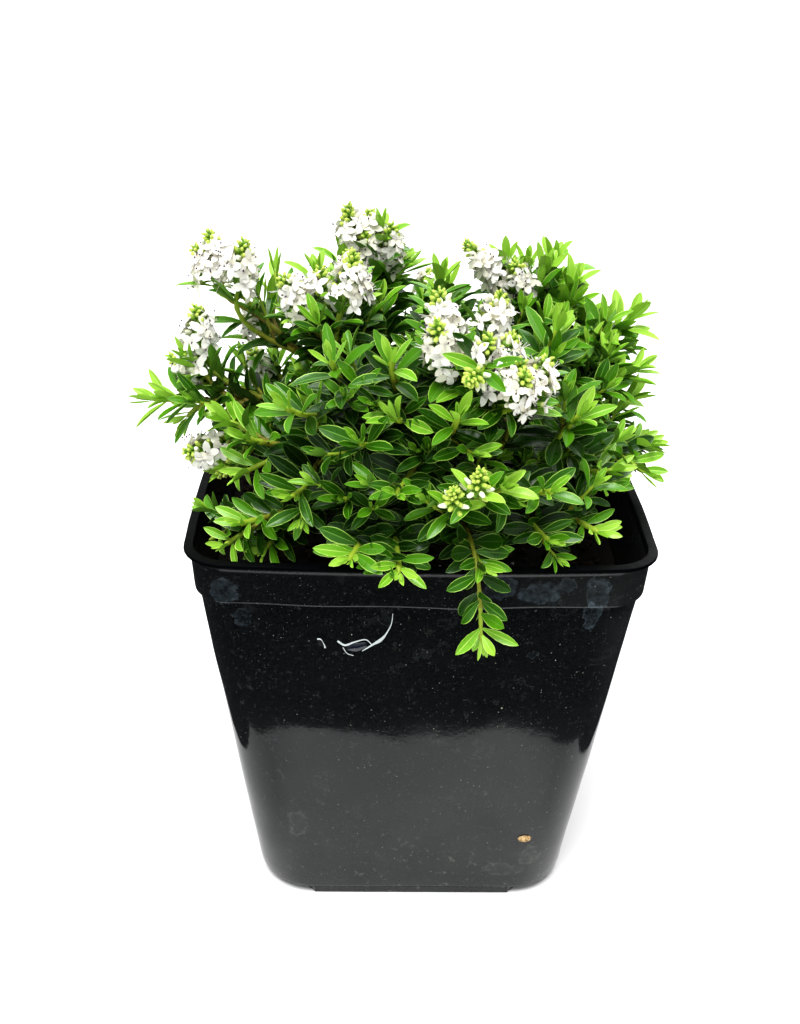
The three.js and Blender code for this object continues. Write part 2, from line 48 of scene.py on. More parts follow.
POT_HEIGHT = 158.0
FOOT_HEIGHT = 3.0
FOOT_BASE_HALF, FOOT_HALF, FOOT_CORNER = 60.0, 60.4, 22.0
BODY_LOW_HALF, BODY_TOP_HALF = 60.7, 75.6
BAND_HALF, BAND_TAPER, BAND_HEIGHT = 78.1, 0.9, 14.0
LIP_HALF, LIP_THICK = 80.1, 2.2
WALL = 1.4
CORNER_LOW, CORNER_TOP, BAND_CORNER, LIP_CORNER = 22.0, 13.0, 15.0, 16.0
SIDE_BOW = 2.2
EDGE, INNER_EDGE = 1.5, 4.0
DRAIN, DRAIN_WIDTH = 11.0, 5.5
BAND_FOOT = POT_HEIGHT - LIP_THICK - BAND_HEIGHT
SIDE_STEPS, CORNER_STEPS = 28, 9

SOIL_LEVEL, SOIL_HEAP = 134.0, 3.0

# Water marks on the walls: middle, half breadth and half height, then how pale inside and at the edge
STAINS = [
    (58.5, -77.5, 147.0, 4.6, 7.5, 0.16, 0.34), (57.5, -77.5, 137.5, 2.8, 7.0, 0.14, 0.34),
    (39.5, -79.0, 148.0, 7.5, 4.2, 0.2, 0.26), (26.0, -79.0, 150.0, 6.0, 4.5, 0.12, 0.2),
    (48.0, -78.5, 151.0, 3.0, 3.0, 0.1, 0.26), (-66.0, -77.6, 146.5, 5.5, 6.0, 0.14, 0.24),
    (-60.0, -77.6, 136.0, 3.4, 5.0, 0.08, 0.2), (39.7, -74.4, 121.0, 2.0, 2.0, 0.05, 0.22),
    (12.0, -77.0, 141.0, 3.0, 3.0, 0.04, 0.14), (46.0, -63.0, 21.0, 5.0, 6.0, 0.12, 0.3),
    (35.0, -62.5, 14.0, 9.0, 3.0, 0.1, 0.26), (-44.0, -65.0, 38.0, 4.0, 7.0, 0.04, 0.24),
    (77.5, 20.0, 132.0, 8.0, 7.0, 0.06, 0.24), (-77.5, 8.0, 140.0, 7.0, 8.0, 0.06, 0.24),
    (-14.0, 79.0, 138.0, 6.0, 8.0, 0.06, 0.24),
]
WANDER, STAIN_DEPTH = 5.0, 12.0

# ------------------------------------------------------------------ the limbs

TRUNK_FOOT = SOIL_LEVEL + SOIL_HEAP + 0.3
TRUNK_HEIGHT, TRUNK_FLARE, TRUNK_FOOT_R, TRUNK_TOP_R, FLARE_HEIGHT = 37.0, 7.8, 5.4, 3.8, 5.0
LOW_TIP, HIGH_TIP = 150.0, 225.0
ROOT_STEEP = (24.0, 62.0)
BOUGH_SHARE = 0.32
HANDLE, TRAIL_HANDLE = 0.36, 0.28
BRANCH_FIRST, BRANCH_STEP = 0.42, 0.07
MAIN_R, SIDE_R, TWIG_R = (1.2, 0.95), (1.05, 0.85), (0.7, 0.45)
TRAILING_THIN = 0.65
TWIG_ROOM, SIDE_TWIG_ROOM, SIDE_TWIGS, USUAL_TWIGS = 25.0, 21.0, 2, 4
TURN, GOLDEN = 2 * math.pi, 2.39996

# Each limb's shoots, its own tip first: the tip's azimuth, reach and height, the azimuth and rise that
# it heads for, how young its leaves look (set higher on some limbs at the back, as painted light that
# makes their blades lighter), and what it ends in where that isn't a leafy tip.
LIMBS = {
    "left_arm": [(191, 92, 192, 186, 4, 0.2)],
    "left_spike": [(184, 80, 206, 165, 62, 0.0, "bloom"), (199, 76, 175, 205, -8, 0.0, "bloom")],
    "left_high": [(172, 68, 226, 160, 58, 0.0, "bloom"), (180, 66, 226, 350, 72, 0.0, "bloom")],
    "left_back": [(150, 72, 182, 155, 40, 0.0, "bloom"), (136, 88, 174, 136, 12)],
    "top_left": [(180, 42, 219, 170, 62, 0.9, "bloom"), (169, 25, 221, 80, 72, 0.9, "bloom")],
    "top_back": [(119, 46, 227, 140, 70, 1.7, "bloom"), (107, 45, 224, 75, 68, 1.8, "bloom")],
    "front_left_high": [(243, 67, 222, 238, 62, 0.4), (236, 80, 208, 225, 40)],
    "front_high": [(260, 64, 223, 262, 62, 0.3), (254, 76, 199, 250, 40, -1.4)],
    "front_face": [(277, 80, 211, 276, 50, 0.7), (264, 86, 187, 262, 12, -1.2)],
    "flower_main": [(279, 50, 223, 180, 74, 0.2, "bloom"), (287, 69, 217, 340, 56, 0.2, "bloom"),
                    (293, 78, 213, 340, 44, 0.2, "bloom")],
    "flower_back": [(39, 49, 219, 165, 45, 0.2, "bloom"), (75, 35, 217, 80, 74, 0.6)],
    "back_right": [(32, 65, 221, 35, 66, 0.9), (60, 78, 204, 58, 45, 0.3)],
    "right_top": [(14, 80, 209, 12, 36, 1.0), (26, 88, 184, 22, 18, 0.3)],
    "right_upper": [(356, 74, 198, 356, 34, 1.0), (345, 50, 218, 350, 62, 0.2)],
    "right_mid": [(353, 84, 173, 353, 0, 0.9)],
    "right_low": [(324, 82, 179, 326, 18, 1.2), (309, 80, 205, 312, 48, 0.2)],
    "right_corner": [(310, 92, 166, 312, -6, 0.9), (297, 90, 168, 296, 0, -0.5)],
    "front_right": [(296, 92, 187, 300, 26), (300, 70, 218, 305, 60, 0.2)],
    "front_bright": [(286, 90, 190, 288, 34, 1.8)],
    "front_trail": [(281, 98, 139, 278, -80, 1.0), (276, 88, 184, 280, 40, 1.0, "bud")],
    "front_low": [(255, 92, 165, 252, -4, 0.8), (265, 92, 162, 268, -14, 0.7),
                  (251, 80, 180, 246, 14, -1.6)],
    "left_corner": [(227, 90, 166, 224, 10, 0.7), (220, 94, 157, 218, -10, 0.7)],
    "left_front": [(214, 74, 187, 210, 26, 0.8), (238, 82, 178, 232, 4, -1.5)],
    "centre": [(285, 22, 219, 280, 76)],
    "back_left": [(128, 66, 214, 128, 58, 0.8), (114, 82, 194, 114, 35, 0.2, "bloom")],
    "back_low": [(104, 91, 168, 104, 0, 0.4), (122, 90, 172, 122, 8, 0.4)],
    "back_mid": [(86, 78, 202, 86, 45, 0.2, "bloom"), (80, 92, 175, 80, 10, 0.4)],
    "back_low_right": [(52, 91, 176, 52, 10, 0.5), (38, 90, 190, 38, 26, 0.5)],
}

# Finer twigs that a limb bears as well, after the share of its main shoot at which they leave
FINER = {
    "left_arm": [(0.66, 186, 77, 199, 188, 16, 0.3, "small"), (0.7, 187, 84, 204, 205, 44, 0.6),
                 (0.85, 187, 98, 189, 185, 2, 1.2), (0.72, 189, 86, 183, 200, -40, 0.4)],
    "left_high": [(0.62, 167, 60, 204, 150, 63, 0.0, "small"), (0.7, 155, 60, 227, 140, 78, 0.4),
                  (0.8, 173, 76, 227, 160, 62, 0.0, "small")],
    "left_spike": [(0.6, 195, 70, 176, 194, -10, 0.0, "bud"), (0.5, 205, 71, 173, 205, -31, 0.0, "bud"),
                   (0.55, 204, 77, 170, 206, -24, 0.3)],
    "top_left": [(0.5, 183, 37, 221, 70, 74, 0.0, "small"), (0.45, 200, 30, 224, 37, 66, 0.0, "bloom"),
                 (0.6, 144, 48, 226, 150, 80, 0.3), (0.6, 126, 50, 230, 120, 80, 0.3)],
    "top_back": [(0.6, 142, 32, 222, 123, 73, 0.0, "small"), (0.7, 109, 44, 241, 100, 82, 0.6),
                 (0.75, 116, 45, 226, 240, 70, 0.6, "small"), (0.8, 114, 46, 232, 60, 80, 0.6, "small")],
    "flower_main": [(0.6, 276, 62, 221, 249, 51, 0.0, "bloom"), (0.5, 298, 45, 224, 30, 64, 0.0, "small"),
                    (0.7, 291, 76, 212, 292, 50, 0.0, "small"), (0.75, 282, 76, 223, 244, -8, 0.0, "bud"),
                    (0.66, 284, 64, 219, 300, 62, 0.0, "small"), (0.75, 283, 70, 219, 340, 62, 0.8),
                    (0.72, 288, 73, 214, 330, 58, 0.0, "small")],
    "flower_back": [(0.7, 33, 51, 220, 20, 50, 0.2, "small"), (0.66, 51, 54, 229, 60, 82, 0.6),
                    (0.75, 43, 58, 228, 40, 82, 0.5)],
    "back_right": [(0.75, 27, 67, 223, 22, 66, 1.0), (0.7, 35, 60, 227, 20, 60, 0.9),
                   (0.8, 38, 67, 229, 50, 72, 0.8)],
    "right_top": [(0.85, 14, 85, 213, 10, 40, 1.0)],
    "left_corner": [(0.7, 225, 94, 158, 226, -10, 0.9), (0.6, 230, 83, 155, 234, -16, 0.2)],
    "front_bright": [(0.8, 280, 90, 189, 285, 55, 1.0, "bud")],
    "left_front": [(0.6, 235, 65, 203, 200, 48, 0.5), (0.8, 206, 76, 190, 196, 20, 0.9),
                   (0.55, 216, 76, 175, 214, -12, 0.2)],
    "front_left_high": [(0.6, 248, 62, 190, 123, 65, -1.2)],
    "front_high": [(0.7, 262, 68, 205, 200, 52, 0.4)],
    "right_upper": [(0.7, 7, 64, 205, 109, 71, 0.2), (0.85, 0, 81, 199, 0, 25, 1.2)],
    "right_mid": [(0.75, 343, 86, 168, 335, -22, 0.7), (0.85, 352, 86, 173, 355, -4, 1.0),
                  (0.62, 0, 80, 187, 6, 12, 0.9)],
    "right_low": [(0.7, 313, 66, 205, 106, 69, 0.2)],
    "centre": [(0.6, 302, 50, 220, 47, 70, 0.2), (0.7, 32, 9, 232, 340, 78, 0.4)],
}

# How many short twigs a limb bears where that isn't four
FULLER = {
    "right_mid": 9, "right_upper": 8, "right_top": 9, "right_low": 7, "right_corner": 5, "back_low_right": 9,
    "back_right": 9, "back_low": 8, "back_mid": 8, "back_left": 8, "left_back": 8, "top_back": 5,
    "flower_back": 6, "left_arm": 3, "left_spike": 3, "left_high": 0, "left_front": 0, "left_corner": 0,
    "front_low": 1, "front_left_high": 2, "front_high": 2, "front_face": 2, "front_right": 3,
}

# Limbs whose leaves are longer or shorter than their height in the crown gives
VIGOUR = {
    "left_arm": 1.2, "left_high": 1.2, "left_spike": 1.1, "left_front": 1.15, "front_trail": 1.05,
    "right_mid": 1.1, "right_top": 1.08, "right_upper": 1.08, "right_low": 1.1, "back_right": 1.1,
}

# Limbs whose leaves are slimmer or broader than the rest
SLIM = {
    "left_arm": 0.78, "left_high": 0.72, "left_spike": 0.78, "left_back": 0.9, "left_front": 0.92,
    "top_back": 1.15, "flower_back": 1.2, "back_right": 1.2, "right_top": 1.15, "right_upper": 1.1,
}

# Limbs whose leaf pairs stand wider apart
GAP = {"left_high": 2.2, "left_spike": 1.6, "left_arm": 1.3, "left_front": 1.2, "front_trail": 1.3}

# What a spike measures by its kind: length, breadth, and the share of it in open flower
SPIKE = {"bloom": (21.0, 1.55, 0.68), "small": (16.0, 1.3, 0.64), "bud": (10.5, 0.9, 0.0)}

# Spikes that stand otherwise than their twig heads: azimuth, rise and length
STANDING = {
    ("left_spike", 0): (285, 79, 18), ("left_spike", 1): (225, 4, 16), ("left_back", 0): (249, 61, 14),
    ("left_high", 0): (159, 61, 23), ("left_high", 1): (309, 73, 21), ("top_left", 0): (204, 61, 18),
    ("top_left", 1): (78, 76, 17), ("top_back", 0): (192, 70, 24), ("top_back", 1): (285, 73, 20),
    ("flower_main", 1): (54, 37, 20), ("flower_main", 2): (51, 34, 18), ("flower_back", 0): (168, 34, 29),
    ("flower_back", 2): (210, 46, 16), ("front_bright", 1): (288, 64, 11),
    ("front_trail", 1): (258, 56, 10.5), ("back_mid", 0): (86, 30, 16),
}

# How much lighter the blade colour is painted at the top of the crown's far side: painted light, for the
# light that side stands in
FAR_PAINTED_LIGHT = 0.75

CROWN_CENTRE = np.array([0.0, 0.0, 160.0])
CROWN_REACH = np.array([100.0, 92.0, 84.0])

# ------------------------------------------------------------------ small tools


def lerp(a, b, t):
    return a + (b - a) * t


def clamp01(x):
    return min(1.0, max(0.0, x))


def unit(v):
    return v / max(np.linalg.norm(v), 1e-9)


def polar(azimuth, reach, z):
    a = math.radians(azimuth)
    return np.array([reach * math.cos(a), reach * math.sin(a), z])


def heading(azimuth, rise):
    r = math.radians(rise)
    return polar(azimuth, math.cos(r), math.sin(r))


def linear(r, g, b):
    """A colour as the eye names it, 0 to 255, as the shader takes it."""
    def one(c):
        c /= 255.0
        return c / 12.92 if c <= 0.04045 else ((c + 0.055) / 1.055) ** 2.4
    return (one(r), one(g), one(b), 1.0)


class Heap:
    """Gathers vertices (millimetres) and faces with a material each, and makes one mesh of them."""

    def __init__(self):
        self.places, self.faces, self.sizes, self.kinds, self.count = [], [], [], [], 0

    def add(self, places, faces, kinds):
        places = np.asarray(places, float).reshape(-1, 3)
        faces = np.asarray(faces, int)
        self.places.append(places)
        self.faces.append((faces + self.count).ravel())
        self.sizes.append(np.full(len(faces), faces.shape[1]))
        self.kinds.append(np.broadcast_to(np.asarray(kinds, int), (len(faces),)))
        self.count += len(places)

    def make(self, name, materials, smooth=True, creased=()):
        """Smooth, but for the faces of the materials that are creased."""
        places = np.vstack(self.places) * MM
        loops = np.concatenate(self.faces)
        sizes = np.concatenate(self.sizes)
        starts = np.concatenate([[0], np.cumsum(sizes)[:-1]])
        mesh = bpy.data.meshes.new(name)
        mesh.vertices.add(len(places))
        mesh.vertices.foreach_set("co", places.ravel())
        mesh.loops.add(len(loops))
        mesh.loops.foreach_set("vertex_index", loops)
        mesh.polygons.add(len(sizes))
        mesh.polygons.foreach_set("loop_start", starts)
        kinds = np.concatenate(self.kinds)
        mesh.polygons.foreach_set("material_index", kinds)
        mesh.polygons.foreach_set("use_smooth", smooth & ~np.isin(kinds, creased))
        for material in materials:
            mesh.materials.append(material)
        mesh.update(calc_edges=True)
        mesh.validate()
        obj = bpy.data.objects.new(name, mesh)
        bpy.context.scene.collection.objects.link(obj)
        return obj


def grid_faces(rows, columns, closed):
    """Quads between rows of points; closed joins each row's last point to its first."""
    faces = []
    for r in range(rows - 1):
        for c in range(columns if closed else columns - 1):
            d = (c + 1) % columns
            faces.append((r * columns + c, r * columns + d, (r + 1) * columns + d, (r + 1) * columns + c))
    return faces


def add_rings(heap, rings, kinds):
    """A closed skin through rings of equal length, a material to each row, with a fan at each end."""
    count = len(rings[0])
    kinds = np.broadcast_to(kinds, (len(rings) - 1,))
    heap.add(np.vstack(rings), grid_faces(len(rings), count, True), np.repeat(kinds, count))
    for ring, kind, turned in ((rings[0], kinds[0], -1), (rings[-1], kinds[-1], 1)):
        fan = [(i, (i + 1) % count, count)[::turned] for i in range(count)]
        heap.add(np.vstack([ring, ring.mean(axis=0)]), fan, kind)


def square_to(axis, hint):
    """Two ways that are square to an axis and to each other."""
    side = unit(np.cross(axis, hint))
    return side, np.cross(axis, side)


def around(side, over, angle):
    """The way at an angle round the axis that side and over are square to."""
    return side * math.cos(angle) + over * math.sin(angle)


def circle(side, over, sides):
    turn = np.linspace(0, TURN, sides, endpoint=False)
    return np.cos(turn)[:, None] * side + np.sin(turn)[:, None] * over


def random_turn(chance):
    angle = chance.uniform(0, TURN)
    axis = Vector([chance.gauss(0, 1) for _ in range(3)])
    return Matrix.Rotation(angle, 3, axis.normalized())


def hand_over(piece, slot, *nodes):
    """The piece rides on the part's one body and stands for the nodes named; the slot is not used."""
    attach(piece, "root")
    if nodes:
        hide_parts(*nodes)


# ------------------------------------------------------------------ materials


class Nodes:
    """A Principled material and short names for the nodes that feed it."""

    def __init__(self, name, colour, roughness, specular=0.5, **sockets):
        self.material = bpy.data.materials.new(name)
        self.material.use_nodes = True
        self.tree = self.material.node_tree
        self.shader = self.tree.nodes["Principled BSDF"]
        plain = {"Base Color": colour, "Roughness": roughness, "Specular IOR Level": specular}
        for socket, value in (plain | sockets).items():
            self.shader.inputs[socket].default_value = value
        self.where = self.node("TexCoord", {}).outputs["Object"]

    def put(self, value, socket):
        """Links an output to the socket, or sets a plain value on it."""
        if hasattr(value, "is_output"):
            self.tree.links.new(value, socket)
        else:
            socket.default_value = value

    def node(self, kind, feeds, **settings):
        made = self.tree.nodes.new("ShaderNode" + kind)
        for key, value in settings.items():
            setattr(made, key, value)
        for key, value in feeds.items():
            self.put(value, made.inputs[key])
        return made

    def noise(self, scale, detail=3.0, rough=0.55, stretch=None, output="Fac"):
        where = self.where
        if stretch:
            where = self.node("Mapping", {"Scale": stretch, "Vector": where}).outputs["Vector"]
        feeds = {"Scale": scale, "Detail": detail, "Roughness": rough, "Vector": where}
        return self.node("TexNoise", feeds).outputs[output]

    def ramp(self, value, *stops):
        """Grey levels or colours at places from 0 to 1."""
        made = self.node("ValToRGB", {"Fac": value})
        ramp = made.color_ramp
        while len(ramp.elements) < len(stops):
            ramp.elements.new(0.5)
        for element, (place, colour) in zip(ramp.elements, stops):
            element.position = place
            element.color = colour if hasattr(colour, "__len__") else (colour, colour, colour, 1.0)
        return made.outputs["Color"]

    def math(self, operation, *values):
        return self.node("Math", dict(enumerate(values)), operation=operation).outputs[0]

    def vector(self, operation, *values, output="Vector"):
        return self.node("VectorMath", dict(enumerate(values)), operation=operation).outputs[output]

    def mix(self, share, a, b):
        return self.node("Mix", {0: share, 6: a, 7: b}, data_type="RGBA").outputs[2]

    def axis(self, which):
        return self.node("SeparateXYZ", {0: self.where}).outputs[which]

    def bump(self, height, distance, strength=1.0, under=None):
        feeds = {"Strength": strength, "Distance": distance, "Height": height}
        if under is not None:
            feeds["Normal"] = under
        normal = self.node("Bump", feeds).outputs["Normal"]
        self.put(normal, self.shader.inputs["Normal"])
        return normal

    def roughness(self, value):
        self.put(value, self.shader.inputs["Roughness"])

    def colour(self, value):
        self.put(value, self.shader.inputs["Base Color"])


def skin(name, colour, roughness, specular, grain, bump, relief=None, rough=(), colours=(), **sockets):
    """A material whose roughness and colours follow one noise, and its relief the same or another."""
    made = Nodes(name, linear(*colour), roughness, specular, **sockets)
    fine = made.noise(*grain)
    if rough:
        made.roughness(made.ramp(fine, *rough))
    if colours:
        made.colour(made.ramp(fine, *[(place, linear(*tone)) for place, tone in colours]))
    made.bump(made.noise(*relief) if relief else fine, *bump)
    return made.material


def leafy(name, colour, rough=(0.24, 0.38), bump=0.00012, specular=0.5, **sockets):
    """A plain colour with a skin that is finely uneven, duller here and glossier there."""
    return skin(name, colour, rough[0], specular, (260.0, 2.0), (bump, 0.6), (900.0,),
                ((0.3, rough[0]), (0.75, rough[1])), **sockets)


def leafy_ages(part, rough, specular, *colours):
    """A material for one part of old, middling and young leaves."""
    ages = zip(("old", "mid", "young"), colours)
    return [leafy(part + "_" + age, colour, rough, specular=specular) for age, colour in ages]


# Leaf blades from the oldest to the youngest, then what edges, ribs and undersides go with them
BLADE = [
    leafy("blade_old", (20, 50, 2), specular=0.3),
    leafy("blade_dark", (30, 68, 3), specular=0.32),
    leafy("blade_mid", (45, 93, 5), specular=0.36),
    leafy("blade_fresh", (74, 129, 15), specular=0.38),
    leafy("blade_bright", (110, 164, 38), specular=0.38),
    leafy("blade_lime", (144, 189, 62), (0.32, 0.46), specular=0.38),
]
MARGIN = leafy_ages("margin", (0.4, 0.55), 0.5, (112, 144, 66), (152, 188, 84), (186, 214, 108))
RIB = leafy_ages("rib", (0.35, 0.5), 0.5, (48, 82, 28), (92, 138, 46), (168, 202, 90))
UNDER = leafy_ages("under", (0.45, 0.6), 0.35, (60, 92, 34), (92, 134, 44), (138, 184, 60))
LEAF_SET = BLADE + MARGIN + RIB + UNDER
BLADES, THIRDS = len(BLADE), len(UNDER)
UNDERSIDES = [LEAF_SET.index(under) for under in UNDER]


def stemmy(name, colour):
    """Green bark with fine lengthwise streaks."""
    return skin(name, colour, 0.45, 0.4, (500.0,), (0.0002, 0.8), (500.0, 4.0, 0.6, (1.0, 1.0, 0.25)),
                ((0.3, 0.45), (0.7, 0.65)))


TWIG_SET = [
    stemmy("twig_brown", (76, 58, 28)),
    stemmy("twig_olive", (110, 102, 32)),
    stemmy("twig_green", (130, 136, 38)),
    stemmy("twig_lime", (140, 164, 46)),
]

PETAL_GLOW = {"Subsurface Weight": 0.4, "Subsurface Scale": 0.0012, "Subsurface Radius": (1.0, 1.0, 1.0)}
BLOOM_SET = [
    leafy("petal_white", (247, 245, 238), (0.45, 0.6), 0.0001, 0.25, **PETAL_GLOW),
    leafy("petal_shade", (243, 239, 222), (0.45, 0.6), 0.0001, 0.25, **PETAL_GLOW),
    leafy("throat", (190, 196, 140), (0.5, 0.6), 0.0001, 0.3),
    leafy("bud_white", (236, 238, 212), (0.4, 0.5), 0.0001, 0.35),
    leafy("bud_lime", (186, 206, 96), (0.4, 0.5), 0.0001, 0.4),
    leafy("calyx", (122, 164, 56), (0.4, 0.55), 0.0001, 0.4),
    leafy("filament", (206, 204, 200), (0.5, 0.6), 0.0001, 0.3),
    leafy("anther", (66, 42, 62), (0.5, 0.7), 0.0002, 0.3),
]
PETAL, PETAL_SHADE, THROAT, BUD_WHITE, BUD_LIME, CALYX, FILAMENT, ANTHER = range(len(BLOOM_SET))

# ------------------------------------------------------------------ shoots


class Shoot:
    """One curve from a root to a tip, with a side direction that stays square to it."""

    PARTS = 60

    def __init__(self, root, start, azimuth, reach, z, towards, rise, young=0.0, end="leaf"):
        self.end, self.young, self.hanging = end, young, rise < -50
        self.tip = polar(azimuth, reach, z)
        span = np.linalg.norm(self.tip - root)
        trail = HANDLE + TRAIL_HANDLE * max(0.0, -math.sin(math.radians(rise)))
        a, b = root, root + start * HANDLE * span
        c, d = self.tip - heading(towards, rise) * trail * span, self.tip
        self.level = polar(azimuth + 90, 1, 0)
        t = np.linspace(0, 1, self.PARTS + 1)[:, None]
        self.line = (1 - t) ** 3 * a + 3 * (1 - t) ** 2 * t * b + 3 * (1 - t) * t * t * c + t ** 3 * d
        steps = np.linalg.norm(np.diff(self.line, axis=0), axis=1)
        self.run = np.concatenate([[0], np.cumsum(steps)])
        self.length = self.run[-1]

    def point(self, share):
        at = share * self.length
        return np.array([np.interp(at, self.run, self.line[:, k]) for k in range(3)])

    def frame(self, share):
        """A point, the way on from it, and two ways square to that: to the side and over."""
        step = 0.6 / self.PARTS
        low, high = max(0.0, share - step), min(1.0, share + step)
        along = unit(self.point(high) - self.point(low))
        side = unit(self.level - along * self.level.dot(along))
        return self.point(share), along, side, np.cross(side, along)


def grown_root(name, end):
    """Where a limb leaves the trunk, read from its bough's end, and the way it starts."""
    share = clamp01((end[2] - LOW_TIP) / (HIGH_TIP - LOW_TIP))
    steep = lerp(ROOT_STEEP[0], ROOT_STEEP[1], share)
    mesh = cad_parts["bough_" + name].data
    corners = np.array([v.co for v in mesh.vertices]) / MM
    azimuth = math.degrees(math.atan2(*corners.mean(axis=0)[1::-1]))
    for _ in range(3):
        start = heading(azimuth, steep)
        ahead = corners @ start
        root = corners[ahead < ahead.min() + 0.4].mean(axis=0)
        azimuth = math.degrees(math.atan2(root[1], root[0]))
    return root, start


def trunk_radius(z):
    over = z - TRUNK_FOOT
    flare = max(0.0, 1 - over / FLARE_HEIGHT)
    return lerp(TRUNK_FOOT_R, TRUNK_TOP_R, over / TRUNK_HEIGHT) + (TRUNK_FLARE - TRUNK_FOOT_R) * flare * flare


# ------------------------------------------------------------------ keeping clear of the pot


def wall_at(z):
    """The outer wall at a height: half its breadth, its corners' radius and how far its sides bow."""
    share = clamp01((z - FOOT_HEIGHT) / (BAND_FOOT - FOOT_HEIGHT))
    return lerp(BODY_LOW_HALF, BODY_TOP_HALF, share), lerp(CORNER_LOW, CORNER_TOP, share), SIDE_BOW * share


def outside_square(points, half, corner):
    """How far points are outside an upright square with round corners, less than 0 inside."""
    flat = np.abs(points[:, :2]) - (half - corner)
    out = np.hypot(np.maximum(flat[:, 0], 0), np.maximum(flat[:, 1], 0))
    return out + np.minimum(flat.max(axis=1), 0) - corner


def clear_of_pot(points, room=0.4):
    """True where every point is over the rim, outside the pot, or inside it above the soil."""
    over = points[:, 2] > POT_HEIGHT + room
    outside = outside_square(points, LIP_HALF + SIDE_BOW, LIP_CORNER) > room
    half, corner, _ = wall_at(POT_HEIGHT - 8)
    inside = (outside_square(points, half - WALL, corner - WALL) < -room) & (points[:, 2] > SOIL_LEVEL + 2.5)
    return bool(np.all(over | outside | inside))


# ------------------------------------------------------------------ leaves

STATIONS = np.array([0.0, 0.1, 0.26, 0.45, 0.64, 0.82, 0.94, 1.0])
LONG_LEAF = np.array([0.2, 0.36, 0.7, 0.96, 0.98, 0.72, 0.34, 0.03])
ROUND_LEAF = np.array([0.16, 0.3, 0.64, 0.94, 1.06, 0.92, 0.54, 0.06])
ACROSS = np.array([-1.0, -0.87, -0.07, 0.07, 0.87, 1.0])
UPPER = grid_faces(len(STATIONS), len(ACROSS), False)
UPPER_PARTS = np.tile([1, 0, 2, 0, 1], len(STATIONS) - 1)  # margin, blade, rib, blade, margin
LOWER = [f[::-1] for f in grid_faces(len(STATIONS), 3, False)]
LEAF_THICK = 0.3


class Leaf:
    """One leaf: where it starts, the way it runs, the way its upper face looks, and its form."""

    def __init__(self, point, run, face, length, width, fold, curl, blade, rounded=0.0, twist=0.0):
        self.point, self.run, self.length, self.width = point, unit(run), length, width
        self.face = unit(face - self.run * face.dot(self.run))
        self.fold, self.curl, self.blade = fold, curl, blade
        self.rounded, self.twist = rounded, twist

    def places(self):
        broad = np.cross(self.run, self.face)
        half = self.width / 2 * lerp(LONG_LEAF, ROUND_LEAF, self.rounded)
        bend = self.curl * STATIONS ** 1.4
        middle = np.concatenate([[0.0], (bend[1:] + bend[:-1]) / 2])
        step = np.diff(STATIONS, prepend=0.0) * self.length
        ahead = np.cumsum(step * np.cos(middle))[:, None] * self.run
        down = np.cumsum(step * np.sin(middle))[:, None] * self.face
        spine = self.point + ahead - down
        up = np.cos(bend)[:, None] * self.face + np.sin(bend)[:, None] * self.run
        turned = self.twist * STATIONS
        side = np.cos(turned)[:, None] * broad + np.sin(turned)[:, None] * up
        up = np.cos(turned)[:, None] * up - np.sin(turned)[:, None] * broad
        aside = ACROSS[None, :] * half[:, None] * math.cos(self.fold)
        raised = np.abs(ACROSS)[None, :] ** 1.3 * half[:, None] * math.sin(self.fold)
        upper = spine[:, None] + aside[..., None] * side[:, None] + raised[..., None] * up[:, None]
        thick = LEAF_THICK * np.minimum(1.0, half / half.max() + 0.1)
        keel = spine - thick[:, None] * up
        lower = np.stack([upper[:, 0], keel, upper[:, -1]], axis=1)
        return upper.reshape(-1, 3), lower.reshape(-1, 3)

    def add_to(self, heap):
        upper, lower = self.places()
        third = min(THIRDS - 1, self.blade // 2)
        parts = np.array([self.blade, BLADES + third, BLADES + THIRDS + third])
        heap.add(upper, UPPER, parts[UPPER_PARTS])
        heap.add(lower, LOWER, BLADES + 2 * THIRDS + third)


# ------------------------------------------------------------------ growing

# Where each group of limbs ends, by the azimuth of their tips
GROUP_ENDS = {"right": 30, "back": 135, "left": 225, "front_left": 268, "front_right": 300}
leaf_heaps = {key: Heap() for key in GROUP_ENDS}
twig_heap, bloom_heap = Heap(), Heap()

STEM_ROW, STEM_BULGE = 1.5, 1.22

# Leaf pairs by their age, which is how many pairs lie between them and the tip
FRESHEST, AGEING, OLDEST = 4.9, 0.88, 0.5
OPEN_FIRST, OPEN_STEP, OPEN_MOST = 19.0, 16.0, 64.0
LENGTH_FIRST, LENGTH_STEP, GROWN_AGE = 8.0, 2.7, 2.2
GAP_FIRST, GAP_STEP, GAP_MOST = 1.5, 0.75, 3.3
AGE_UNDER_SPIKE = 2.0
LAST_PAIR, LAST_UNDER_SPIKE = 0.985, 0.93
BREADTH, FOLD = (0.29, 0.36), (12, 32)


def blade_of(chance, from_tip, young):
    """Which blade a leaf has, from how many pairs lie between it and the tip."""
    fresh = max(OLDEST, FRESHEST - AGEING * from_tip) + young + chance.uniform(-0.7, 0.7)
    return int(min(BLADES - 1, max(0, round(fresh))))


def lit_afar(point):
    """From 0 in the front and low down to 1 high up at the back."""
    return clamp01((point[1] + 45) / 50) * clamp01((point[2] - 162) / 34)


